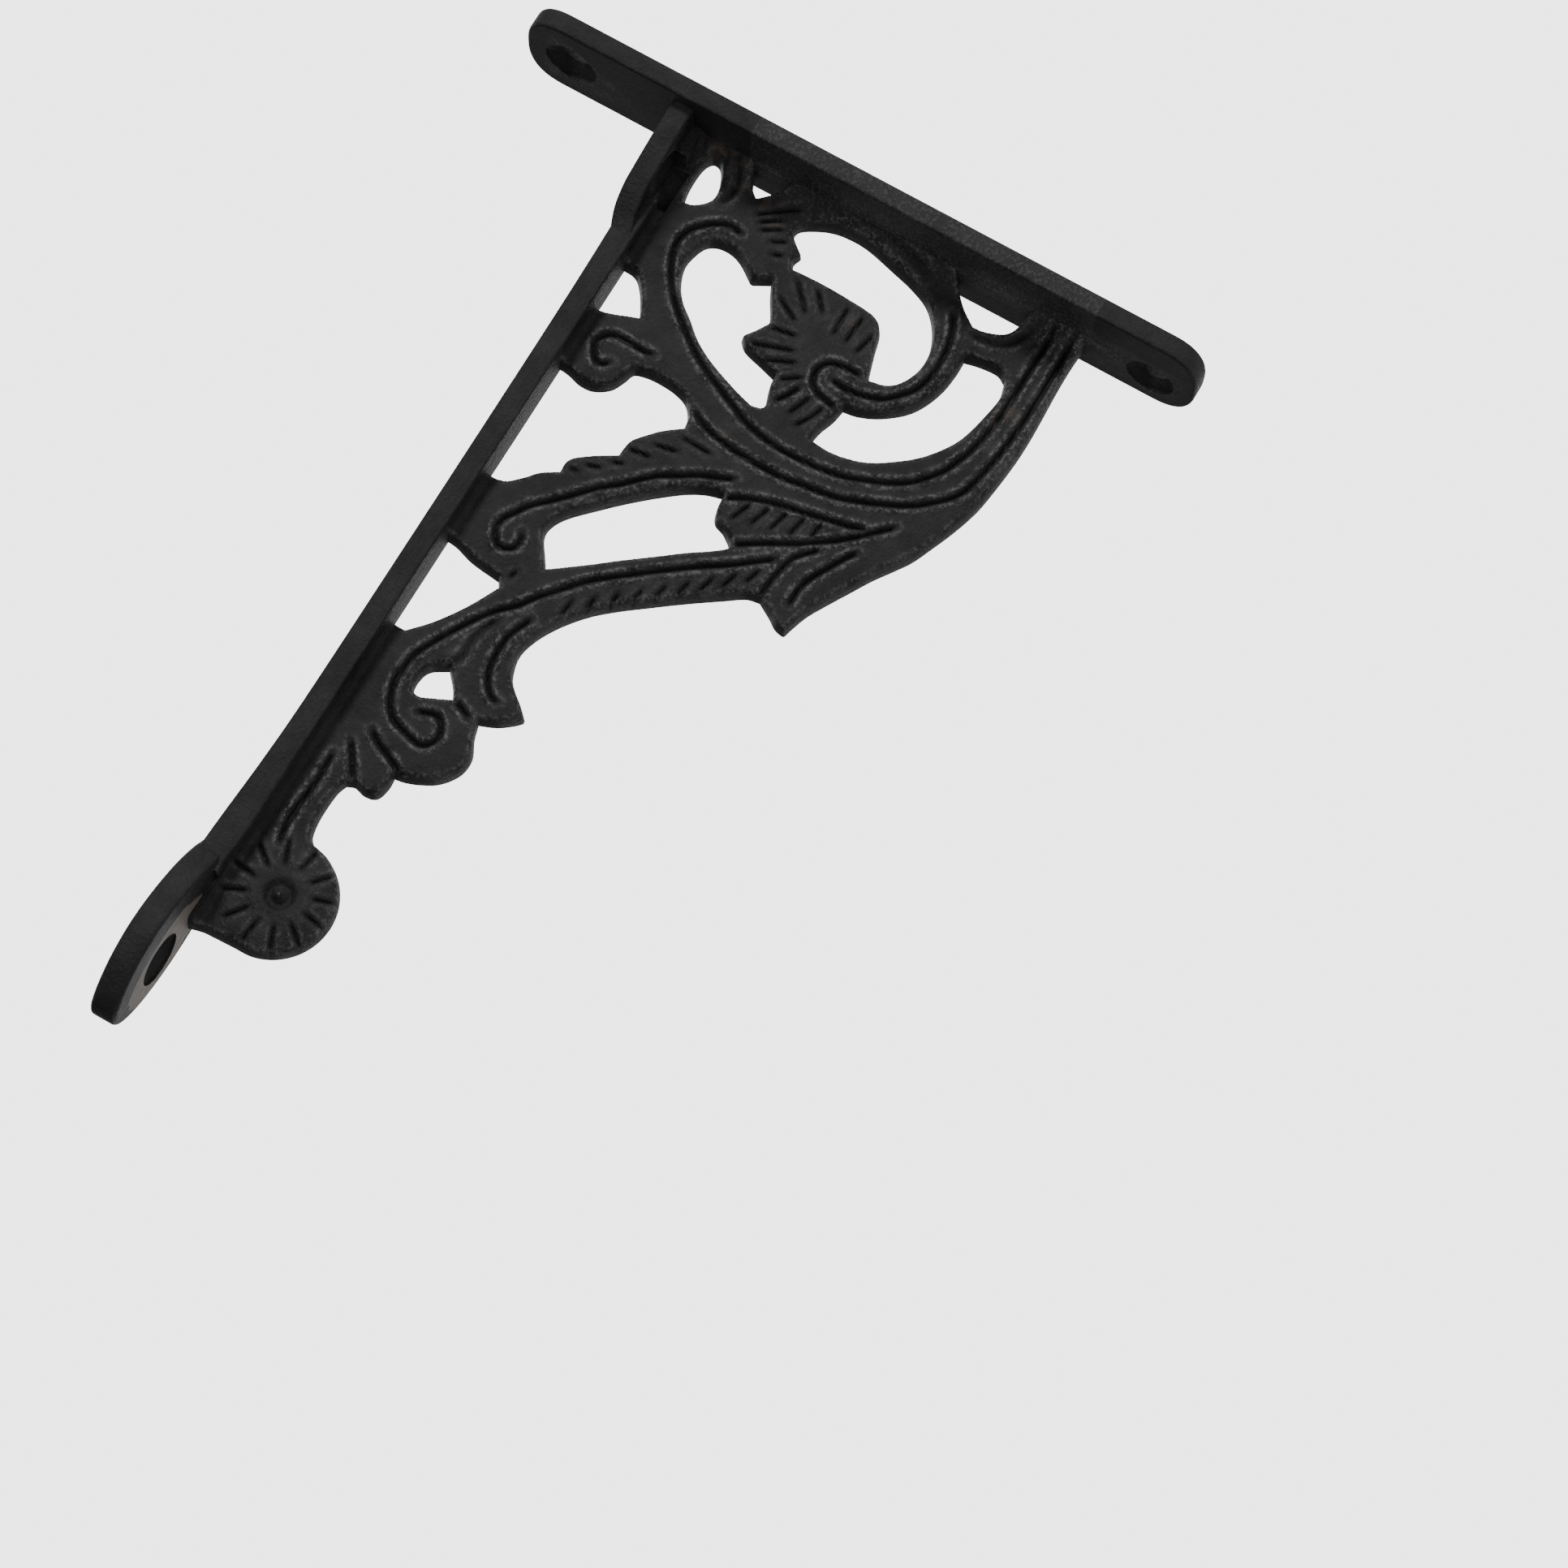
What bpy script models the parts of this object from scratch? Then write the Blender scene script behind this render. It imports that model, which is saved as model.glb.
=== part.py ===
"""Ornate cast iron shelf bracket: one casting, arm along -X, wall face on X = 0, decorated face toward -Y.

All sizes are in millimetres until the mesh is written. Depths are counted from the plate's back edge.
"""

import math

import bpy
import numpy as np
from mathutils import Vector
from mathutils.geometry import delaunay_2d_cdt

MM = 0.001

PLATE_WIDTH = 20.3
PLATE_THICK = 4.0
PLATE_TOP = 30.5
PLATE_BOTTOM = -107.0
PLATE_END_LENGTH = 8.0
PLATE_END_POWER = 2.6
PLATE_END_POINTS = 15
PLATE_EDGE = 0.5

RAIL_BACK = 2.4
RAIL_FRONT = 11.5
RAIL_UNDERSIDE = -6.0
RAIL_UNDERSIDE_BACK = -6.5
RAIL_LEFT = -167.0
RAIL_RIGHT = -3.0
RAIL_EDGE = 0.4
RAIL_TOP = [(RAIL_LEFT, -0.6), (-158, -0.9), (-145, -1.6), (-130, -1.95), (-90, -2.0), (-50, -1.9),
            (-28, -1.6), (RAIL_RIGHT, -1.5)]

SEAT = 0.0
PAD_UNDERSIDE = -4.3
PAD_EDGE = 0.5
PAD_FRONT = [(-3.0, 17.6), (-9, 17), (-16, 15.6), (-22, 13.7), (-27, 11.6), (-29.6, 9.6)]
PAD_REAR = [(-29.6, 4.4), (-26, 2.2), (-18, 0.9), (-3.0, 0.4)]

LUG_UNDERSIDE = -5.0
LUG_EDGE = 0.6
LUG_OUTLINE = [(-162.2, 9), (-165.4, 12.6), (-170.4, 16.4), (-177, 19.3), (-183.5, 20.4), (-189.7, 19.2),
               (-194.9, 16), (-198.1, 11.8), (-197.8, 7.4), (-194, 3.5), (-188.2, 0.9), (-181, -0.2),
               (-173.3, 0.4), (-166.3, 2.8), (-162.2, 5.3)]

WEB_BACK = 2.8
WEB_FACE = 7.0
WEB_DRAFT = 0.3
EDGE_ROUND = 0.8
EDGE_SHARE = 0.85
PLATE_FILLET_RISE = 3.6
PLATE_FILLET_REACH = 5.5
PLATE_FILLET_POWER = 2.5
RAIL_FILLET = 1.0

ROSETTE_CENTRE = (-164.0, -14.6)
ROSETTE_RADIUS = 11.0
ROSETTE_RAYS = 11
ROSETTE_FIRST_RAY = 172.0
ROSETTE_RAY_SPAN = (5.0, 9.3)
ROSETTE_ARC_STEP = 4.0
BOSS_CENTRE = (-164.3, -16.2)
BOSS_RADIUS = 2.9
BOSS_RISE = 1.2
BOSS_CROWN = 1.25
BOSS_RING = (0.62, 0.2, 1.3)

SCREW_RADIUS = 3.2
SCREW_SIDES = 28
SCREW_MOUTH = 0.6
SCREW_OVERRUN = 2.0
SHELF_SCREW_LENGTH = 8.0
PLATE_SCREWS = {"upper": (10.1, 21.3, 5.3), "lower": (7.8, -98.2, 4.8)}
SHELF_SCREWS = {"pad": (-15.0, 9.6, 5.4, PAD_UNDERSIDE, 3.2), "lug": (-184.4, 8.2, 5.1, LUG_UNDERSIDE, 1.0)}

CORNER = True

RIGHT_EDGE = -2.0
TOP_EDGE = -3.2

OUTLINE_LOWER = [
    (RIGHT_EDGE, -84.9, CORNER), (-7, -84.5), (-13, -84.5), (-20, -84.8), (-25, -84.9), (-30, -84.7),
    (-36, -84.1), (-40.6, -83.4), (-45.7, -81.9), (-50.6, -80), (-54.6, -78.3), (-57.6, -76.4),
    (-61.3, -73.9), (-65, -71.8), (-69.4, -69.3), (-72.8, -67.5), (-75.6, -66.5), (-78.2, -65.8, CORNER),
    (-77.8, -64.1), (-76.5, -62.2), (-74.8, -59.3, CORNER), (-75.4, -56.7), (-77.6, -53.5), (-80, -50.1),
    (-82.4, -46.8), (-85, -43.4), (-88.9, -38.4), (-92.6, -34.4), (-97.2, -30.9), (-101.6, -28.7),
    (-105.4, -28), (-109.3, -29.1), (-111.4, -30.9), (-113.3, -33.2), (-115.1, -35, CORNER),
    (-116.4, -33.7), (-118.1, -31.4), (-119.4, -28.3, CORNER), (-122.4, -29.2), (-125.6, -30.7),
    (-128.8, -30.5), (-131.9, -28.4), (-133.7, -25.6), (-134.7, -23.1), (-135.1, -21, CORNER),
    (-137.5, -21.1), (-139.8, -20.4), (-140.4, -18.4), (-139.9, -16.3), (-140.5, -14.6, CORNER),
    (-143, -13.9), (-148, -13.8), (-151.5, -14.4),
]
ROSETTE_ARC = (-5.0, -187.0)
OUTLINE_UPPER = [(-175.1, -9.5), (-175.3, -7.2), (-176.4, TOP_EDGE, CORNER), (RIGHT_EDGE, TOP_EDGE, CORNER)]

OPENINGS = {
    "loop": [
        (-26, -15.2), (-23, -15.5), (-20.5, -16.5), (-19.2, -18.4), (-19, -21), (-19.9, -23.7),
        (-22.4, -27.3, CORNER), (-20.6, -30.5, CORNER), (-23.2, -31.8), (-27.6, -34.2), (-29.8, -33.6),
        (-33, -31.5, CORNER), (-34.5, -33.2), (-35.6, -37), (-36.6, -40.4, CORNER), (-38.6, -40.5),
        (-42.8, -41.7), (-43.9, -40), (-43.5, -37.8), (-42.2, -33.9), (-40, -28.6), (-37.6, -24.7),
        (-35, -21.7), (-32.7, -18.9), (-29.6, -16.5),
    ],
    "heart": [
        (-17.2, -32.5, CORNER), (-15.5, -31.7), (-13.7, -32.2, CORNER), (-12, -30.1), (-10.6, -29),
        (-8.9, -29.5), (-7.2, -32), (-6, -34.8), (-5.5, -38), (-5.7, -42), (-7.2, -48), (-8.6, -52.9),
        (-10.4, -56.7), (-13.3, -59.5), (-17, -61.4), (-20.9, -62), (-24.3, -61.4), (-27.2, -59.8),
        (-28.6, -57.8), (-29.2, -54.9, CORNER), (-27.6, -54.2), (-23.4, -52.9), (-19.6, -51.8),
        (-17.9, -50), (-17.3, -46.1), (-17, -39),
    ],
    "crescent": [
        (-44.3, -51.6, CORNER), (-44.7, -55.4), (-44.2, -59.2), (-42.9, -63), (-40.1, -67.2),
        (-37.2, -70.5), (-33.5, -73.3), (-30, -75), (-25, -76.2), (-20, -76.9), (-16.5, -76.1, CORNER),
        (-15.4, -74), (-15.6, -70.5), (-16.3, -67.4, CORNER), (-19.5, -67.4), (-23.5, -66.9),
        (-27.5, -65.5), (-30.5, -63.5), (-33.3, -60.1), (-35, -56.6), (-35.6, -53.5, CORNER), (-38.5, -53),
        (-41.5, -52),
    ],
    "wall_gap_upper": [
        (-8.4, -20, CORNER), (-6.6, -18.1), (-2.6, -16.4, CORNER), (-2.6, -25.2, CORNER), (-5, -23.9),
    ],
    "wall_gap_lower": [
        (-10.6, -66, CORNER), (-8.3, -62.9), (-5.8, -60.3), (-2.6, -57.5, CORNER), (-2.6, -74.6, CORNER),
        (-6, -73.4), (-8.8, -71.7), (-10.3, -68.5),
    ],
    "screw_access": [
        (-15.8, -8.8, CORNER), (-12, -8.1), (-7.4, -8.2), (-5.2, -9.4), (-5.6, -11.3), (-8, -12.7),
        (-11, -13.5), (-13.2, -13.1), (-15.2, -11),
    ],
    "rail_triangle": [
        (-42, -4.4, CORNER), (-41.6, -8), (-39.4, -14, CORNER), (-37.3, -13.1), (-33.8, -10.9),
        (-31.8, -8.5), (-31.6, -4.4, CORNER),
    ],
    "feather_gap": [
        (-79.2, -4.4, CORNER), (-78.8, -9), (-76.8, -11.6), (-74.2, -13.9), (-72.2, -16.9, CORNER),
        (-69.4, -17.1), (-66.7, -20.2), (-64.2, -24.2, CORNER), (-61.1, -24.5), (-58.9, -26),
        (-56.3, -28.4), (-53.8, -31.6, CORNER), (-51.2, -31), (-48.9, -29.2), (-47.8, -26.3), (-47.5, -23),
        (-47.7, -20.2), (-48.5, -18), (-50.6, -17.2), (-53, -16), (-54.7, -13.6), (-55, -11), (-54.2, -7.8),
        (-54, -4.4, CORNER),
    ],
    "slot": [
        (-89.5, -24, CORNER), (-86.8, -22.2), (-83.8, -20.3), (-81.3, -20.3), (-78.3, -21.9),
        (-74.1, -25.8), (-70.4, -29.5), (-66.7, -33.6), (-63.7, -37.4), (-61.9, -40.6),
        (-60.9, -43.9, CORNER), (-64, -44.3), (-66, -45.2), (-67, -47.5), (-69.2, -49.8), (-71.3, -47.9),
        (-74.1, -43.9), (-77.8, -39.1), (-81.5, -34.3), (-85.2, -29.7),
    ],
    "stem_triangle": [
        (-111.7, -4.4, CORNER), (-111.6, -9, CORNER), (-107.5, -12.6), (-102.3, -16), (-96.3, -19, CORNER),
        (-94.6, -18, CORNER), (-93.9, -12.1), (-92.7, -8), (-92.5, -4.4, CORNER),
    ],
    "spiral_gap": [
        (-120.9, -17.2), (-120, -15.5), (-117.5, -15.3), (-115.2, -16.2), (-113.2, -19.2, CORNER),
        (-116, -21.6), (-118.4, -22.9, CORNER), (-119.8, -20),
    ],
}

DEEP = (0.9, 1.0)
FINE = (0.6, 0.75)

GROOVES = [
    (DEEP, [(-6, -83), (-20, -82.6), (-30, -82.2), (-37, -81.1), (-42, -78.8), (-46, -74.6), (-49.2, -69.5),
            (-51.6, -63.5), (-53, -57), (-53.6, -50), (-53.5, -43), (-52.8, -37), (-51.6, -33)]),
    (DEEP, [(-6, -79.2), (-15, -79), (-25, -78.2), (-33, -76.8), (-38.5, -74.6), (-43, -70.3),
            (-46.3, -64.5), (-48.2, -58), (-48.9, -51), (-48.5, -44), (-47.2, -37), (-44.8, -31),
            (-41.5, -26), (-36.5, -20.4), (-31, -16.1), (-26, -13.3), (-22, -12.5), (-18.9, -13.8),
            (-16.8, -16.5), (-16, -20)]),
    (DEEP, [(-33.1, -48.5), (-33.3, -53), (-32, -57.5), (-29.3, -61.4), (-25, -63.9), (-20, -64.6),
            (-15.5, -64), (-10.5, -61.7)]),
    (FINE, [(-7, -54.3), (-5.2, -50), (-4.2, -44), (-4.1, -38), (-5.1, -32.5)]),
    (DEEP, [(-35.6, -53), (-35.2, -49.4), (-34, -47.1), (-32.3, -46.3), (-30.7, -47.1), (-29.8, -49.3),
            (-29.4, -54)]),
    (DEEP, [(-75, -59.3), (-70, -59.6), (-66.3, -60.4), (-64, -62.1), (-62, -64.3)]),
    (DEEP, [(-73.7, -64.3), (-70.3, -64.5), (-66.5, -65.7), (-62.8, -67.8), (-59.5, -69.8)]),
    (FINE, [(-71.5, -68.2), (-66.5, -69.2)]),
    (DEEP, [(-69, -50.3), (-66.4, -54), (-63.6, -58.5), (-60, -64), (-56.6, -68.2), (-53.2, -72)]),
    (DEEP, [(-62, -45), (-59.9, -49.3), (-58.4, -54), (-57.3, -59), (-56, -64.5), (-54, -70), (-51.5, -74)]),
    (DEEP, [(-67.7, -58.4), (-71.2, -53.7), (-76, -46.5), (-80, -40.8), (-85.5, -34.1), (-91, -28.5),
            (-96.5, -24.4), (-102, -20.7), (-107.5, -16.8), (-113, -13.9), (-118.5, -12.6), (-123.2, -13.5),
            (-126.6, -16), (-128.1, -19.3), (-128.9, -22.3), (-127.3, -24.5), (-124.7, -24.7),
            (-123, -22.9), (-123.9, -18.8)]),
    (FINE, [(-113, -19.8), (-108, -20.2), (-104.3, -20.9), (-101, -22.3)]),
    (DEEP, [(-115.3, -29.3), (-112.8, -26.6), (-109.3, -25.2), (-105.5, -24.9), (-102, -25.8),
            (-99.2, -27.4)]),
    (DEEP, [(-86.7, -17.5), (-88.9, -16.9), (-90.1, -15), (-89.2, -13.3), (-86.8, -12.9), (-83.5, -14.2),
            (-79.6, -16.9), (-75, -21), (-69.5, -26.7), (-64.5, -32.2), (-60.6, -38), (-58.3, -44)]),
    (DEEP, [(-49.6, -14.2), (-51, -12.5), (-50, -10.6), (-48, -9.8), (-46, -10.4), (-45, -12.3),
            (-44.9, -17.5)]),
    (DEEP, [(-157, -11.6), (-153, -10.5), (-148, -10.2), (-143, -10.4), (-138, -10.2)]),
    (DEEP, [(-140.2, -16), (-137.4, -14.2), (-134.3, -11.8)]),
    (DEEP, [(-134.4, -20.6), (-133, -17.4), (-130.8, -13.8)]),
    (FINE, [(-12.6, -14.2), (-11, -15.6), (-9, -15.8), (-6.4, -14.8)]),
    (DEEP, [(-12, -66.5), (-12, -69.8), (-10.9, -72.4), (-8.8, -74.4), (-6.3, -75.5)]),
    (FINE, [(-95, -19.3), (-92.4, -21.4)]),
    (FINE, [(-119.6, -24.5), (-119.8, -28)]),
]

HATCHES = [
    (9, (-94.6, -31.2), (-74.8, -56.4), (4.0, -0.9), (3.6, -1.2)),
    (5, (-65.2, -47.3), (-60.8, -61.2), (4.4, -1.2), (2.6, -0.2)),
    (6, (-71.2, -18.4), (-56.3, -32.4), (0.8, -3.4), (0.2, -5.2)),
    (3, (-41.4, -43.4), (-43.6, -48.4), (4.2, -2.1), (5.8, -2.6)),
]

FANS = [
    (10, (-32.0, -46.0), 137.0, -27.0, 7.2, 13.2),
    (5, (-15.6, -18.6), -100.0, -48.0, 6.4, 11.4),
]

SAMPLE = 0.3
CAD_TOLERANCE = 0.07
CAD_LONGEST = 5.0
CAD_GROOVE_STEP = 1.7
RAIL_STEP = 9.0
PAD_STEP = 2.5
LUG_STEP = 1.8
GROOVE_END_SHARE = 0.25
GROOVE_END_LENGTH = 1.6
GROOVE_POWER = 1.5
CAD_CLEAR = 0.42
CAD_ROOM = 1.8
CAD_RAIL_STEP = 4.0
CAD_BOSS_RINGS = (1.1, 0.62, 0.25)
CAD_FILLET_COLUMNS = (-0.15, 0.3, 0.65)
CAD_GRID = 4.5


def catmull_rom(points, step):
    """An open smooth curve through the points, sampled about every step."""
    points = np.asarray(points, float)
    if len(points) == 2:
        count = max(2, math.ceil(np.linalg.norm(points[1] - points[0]) / step) + 1)
        return points[0] + np.linspace(0, 1, count)[:, None] * (points[1] - points[0])
    ends = np.vstack([2 * points[0] - points[1], points, 2 * points[-1] - points[-2]])
    parts = []
    for a, b, c, d in zip(ends[:-3], ends[1:-2], ends[2:-1], ends[3:]):
        count = max(2, math.ceil(np.linalg.norm(c - b) / step) + 1)
        t = np.linspace(0, 1, count)[:-1, None]
        parts.append(
            0.5 * (2 * b + (c - a) * t + (2 * a - 5 * b + 4 * c - d) * t**2 + (3 * b - a - 3 * c + d) * t**3)
        )
    return np.vstack(parts + [points[-1:]])


def closed_curve(points, step):
    """A closed curve through the points, smooth except where a point is marked as a corner."""
    corners = [i for i, point in enumerate(points) if len(point) == 3]
    plain = [point[:2] for point in points]
    turned = plain[corners[0]:] + plain[: corners[0]] + [plain[corners[0]]]
    stops = [c - corners[0] for c in corners] + [len(plain)]
    return np.vstack([catmull_rom(turned[a: b + 1], step)[:-1] for a, b in zip(stops[:-1], stops[1:])])


def arc(centre, radius, first, last, step):
    """Points along a circle between two angles in degrees."""
    count = max(3, math.ceil(abs(math.radians(last - first)) * radius / step) + 1)
    angles = np.radians(np.linspace(first, last, count))
    return np.asarray(centre) + radius * np.column_stack([np.cos(angles), np.sin(angles)])


def outer_outline(step):
    """The web's outer edge: the scrolls below, the tip's rosette as an arc, then along the rail and plate."""
    lower = [(x, z) if len(rest) == 0 else (x, z, CORNER) for x, z, *rest in OUTLINE_LOWER]
    ring = arc(ROSETTE_CENTRE, ROSETTE_RADIUS, *ROSETTE_ARC, ROSETTE_ARC_STEP)
    rosette = [(x, z) for x, z in ring]
    rosette[0] = (rosette[0][0], rosette[0][1], CORNER)
    return closed_curve(lower + rosette + OUTLINE_UPPER, step)


def web_loops(step):
    return [outer_outline(step)] + [closed_curve(points, step) for points in OPENINGS.values()]


def carved_lines(step):
    """Every carved groove as (depth, half width, centre line)."""
    lines = [(depth, width, catmull_rom(points, step)) for (depth, width), points in GROOVES]
    for count, start, end, first, last in HATCHES:
        for t in np.linspace(0, 1, count):
            root = np.asarray(start) * (1 - t) + np.asarray(end) * t
            stroke = np.asarray(first) * (1 - t) + np.asarray(last) * t
            lines.append((*FINE, catmull_rom([root, root + stroke], step)))
    for count, centre, first, last, inner, outer in FANS:
        for angle in np.radians(np.linspace(first, last, count)):
            ray = np.array([math.cos(angle), math.sin(angle)])
            lines.append((*FINE, catmull_rom([centre + inner * ray, centre + outer * ray], step)))
    for k in range(ROSETTE_RAYS):
        angle = math.radians(ROSETTE_FIRST_RAY + k * 360 / ROSETTE_RAYS)
        ray = np.array([math.cos(angle), math.sin(angle)])
        ends = [np.asarray(BOSS_CENTRE) + reach * ray for reach in ROSETTE_RAY_SPAN]
        lines.append((*FINE, catmull_rom(ends, step)))
    return lines


def segments_of(loop):
    return loop, np.roll(loop, -1, axis=0)


def distance_along(points, starts, ends):
    """Shortest distance from each point to the segments, and how far along which segment it falls."""
    run = ends - starts
    length = np.maximum((run**2).sum(1), 1e-12)
    best = np.full(len(points), np.inf)
    place = np.zeros(len(points))
    for i, (a, d, q) in enumerate(zip(starts, run, length)):
        t = np.clip(((points - a) @ d) / q, 0, 1)
        gap = np.hypot(*(points - a - t[:, None] * d).T)
        nearer = gap < best
        best[nearer] = gap[nearer]
        place[nearer] = i + t[nearer]
    return best, place


def inside(points, loops):
    """Even-odd test of the points against the closed loops."""
    odd = np.zeros(len(points), bool)
    x, z = points[:, 0], points[:, 1]
    for loop in loops:
        for (ax, az), (bx, bz) in zip(*segments_of(loop)):
            if az != bz:
                odd ^= ((az > z) != (bz > z)) & (x < ax + (z - az) * (bx - ax) / (bz - az))
    return odd


def edge_distance(points, loops):
    best = np.full(len(points), np.inf)
    for loop in loops:
        best = np.minimum(best, distance_along(points, *segments_of(loop))[0])
    return best


def face_depth(points, loops, lines):
    """Height of the carved face over the back plane, for points of the web."""
    points = np.asarray(points, float)
    x, z = points.T
    height = np.full(len(points), WEB_FACE)
    for depth, width, line in lines:
        low, high = line.min(0) - width, line.max(0) + width
        near = np.flatnonzero(((points > low) & (points < high)).all(1))
        if len(near) == 0:
            continue
        gap, place = distance_along(points[near], line[:-1], line[1:])
        spacing = np.linalg.norm(line[-1] - line[-2])
        along = np.minimum(place, len(line) - 1 - place) * spacing
        fade = np.clip(GROOVE_END_SHARE + along / GROOVE_END_LENGTH, 0, 1)
        cut = depth * fade * np.clip(1 - (gap / width) ** 2, 0, 1) ** GROOVE_POWER
        height[near] = np.minimum(height[near], WEB_FACE - cut)
    reach = np.hypot(x - BOSS_CENTRE[0], z - BOSS_CENTRE[1]) / BOSS_RADIUS
    at, spread, share = BOSS_RING
    ring = share * np.exp(-(((reach - at) / spread) ** 2))
    height += BOSS_RISE * (np.clip(BOSS_CROWN - reach**2, 0, 1) - ring)
    rim = np.clip(1 - edge_distance(points, loops) / EDGE_ROUND, 0, 1)
    height -= EDGE_SHARE * EDGE_ROUND * (1 - np.sqrt(1 - rim**2))
    climb = np.clip((x + PLATE_THICK + PLATE_FILLET_REACH) / PLATE_FILLET_REACH, 0, 1)
    height += PLATE_FILLET_RISE * climb**PLATE_FILLET_POWER
    climb = np.clip((z - RAIL_UNDERSIDE + RAIL_FILLET) / RAIL_FILLET, 0, 1)
    return height + RAIL_FILLET * climb**2


def thinned(loop, tolerance, longest):
    """The loop with only as many points as keep it within the tolerance."""
    keep = {0, len(loop) // 2}
    stack = [(0, len(loop) // 2), (len(loop) // 2, len(loop))]
    around = np.vstack([loop, loop[:1]])
    while stack:
        a, b = stack.pop()
        if b - a < 2:
            continue
        chord = around[b] - around[a]
        size = np.hypot(*chord)
        middle = around[a + 1: b] - around[a]
        off = np.abs(middle[:, 0] * chord[1] - middle[:, 1] * chord[0]) / max(size, 1e-9)
        if size < 1e-9:
            off = np.hypot(*middle.T)
        worst = int(np.argmax(off))
        if off[worst] > tolerance:
            split = a + 1 + worst
        elif size > longest:
            split = (a + b) // 2
        else:
            continue
        keep.add(split)
        stack += [(a, split), (split, b)]
    return loop[sorted(keep)]


def side_normals(loop):
    """Unit normals to the right of the way round."""
    run = np.roll(loop, -1, axis=0) - np.roll(loop, 1, axis=0)
    return np.column_stack([run[:, 1], -run[:, 0]]) / np.maximum(np.hypot(*run.T), 1e-9)[:, None]


def turned_out(loop, hole):
    """The loop turned so that its right-hand side faces away from the metal."""
    x, z = loop.T
    area = (x * np.roll(z, -1) - z * np.roll(x, -1)).sum()
    return loop if (area > 0) != hole else loop[::-1]


def web_mesh():
    """The web as (points, triangles): carved face, drafted walls and flat back."""
    fine = web_loops(SAMPLE)
    loops = [
        turned_out(thinned(loop, CAD_TOLERANCE, CAD_LONGEST), i > 0) for i, loop in enumerate(fine)
    ]
    lines = carved_lines(CAD_GROOVE_STEP)
    spots, links = [], []

    def add(chain, ring):
        base = sum(len(part) for part in spots)
        spots.append(chain)
        count = len(chain)
        links.extend((base + i, base + (i + 1) % count) for i in range(count if ring else count - 1))

    for loop in loops:
        add(loop, True)

    def add_inner(chain, clearance):
        fits = inside(chain, loops) & (edge_distance(chain, loops) > clearance)
        run = []
        for point, good in zip(chain, fits):
            if good:
                run.append(point)
            else:
                if len(run) > 1:
                    add(np.array(run), False)
                run = []
        if len(run) > 1:
            add(np.array(run), False)

    for loop in loops:
        ledge = loop - EDGE_ROUND * side_normals(loop)
        add_inner(np.vstack([ledge, ledge[:1]]), 0.8 * EDGE_ROUND)
    for depth, width, line in lines:
        across = np.gradient(line, axis=0)
        across = np.column_stack([across[:, 1], -across[:, 0]]) / np.hypot(*across.T)[:, None]
        for offset in (0, -width, width):
            add_inner(line + offset * across, CAD_CLEAR)
    ring = arc(BOSS_CENTRE, BOSS_RADIUS, 0, 360, CAD_GROOVE_STEP)
    for share in CAD_BOSS_RINGS:
        add_inner(np.asarray(BOSS_CENTRE) + share * (ring - BOSS_CENTRE), CAD_CLEAR)
    centres = np.array([(x, z) for x in np.arange(-176, 0, CAD_GRID) for z in np.arange(-86, -4, CAD_GRID)])
    taken = np.vstack(spots)
    free = inside(centres, loops) & (edge_distance(centres, loops) > CAD_ROOM)
    spare = [c for c in centres[free] if np.hypot(*(taken - c).T).min() > CAD_ROOM]
    for height in (0.0, RAIL_FILLET):
        level = np.arange(-175.5, -3, CAD_RAIL_STEP)
        add_inner(np.column_stack([level, np.full(len(level), RAIL_UNDERSIDE - height)]), CAD_CLEAR)
    for reach in CAD_FILLET_COLUMNS:
        level = np.arange(-85, -6, CAD_GRID / 2)
        column = np.full(len(level), -PLATE_THICK - reach * PLATE_FILLET_REACH)
        add_inner(np.column_stack([column, level]), CAD_CLEAR)
    spots.append(np.array(spare))
    flat = np.vstack(spots)
    found = delaunay_2d_cdt([Vector(p) for p in flat], links, [], 0, 1e-4)
    flat = np.array([tuple(p) for p in found[0]])
    faces = np.array(found[2])
    middle = flat[faces].mean(1)
    faces = faces[inside(middle, loops)]
    a, b, c = flat[faces].transpose(1, 0, 2)
    area = (b - a)[:, 0] * (c - a)[:, 1] - (b - a)[:, 1] * (c - a)[:, 0]
    faces[area < 0] = faces[area < 0][:, ::-1]
    used, faces = np.unique(faces, return_inverse=True)
    flat, faces = flat[used], faces.reshape(-1, 3)
    face = face_depth(flat, loops, lines)
    return walled(flat, faces, face)


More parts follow.
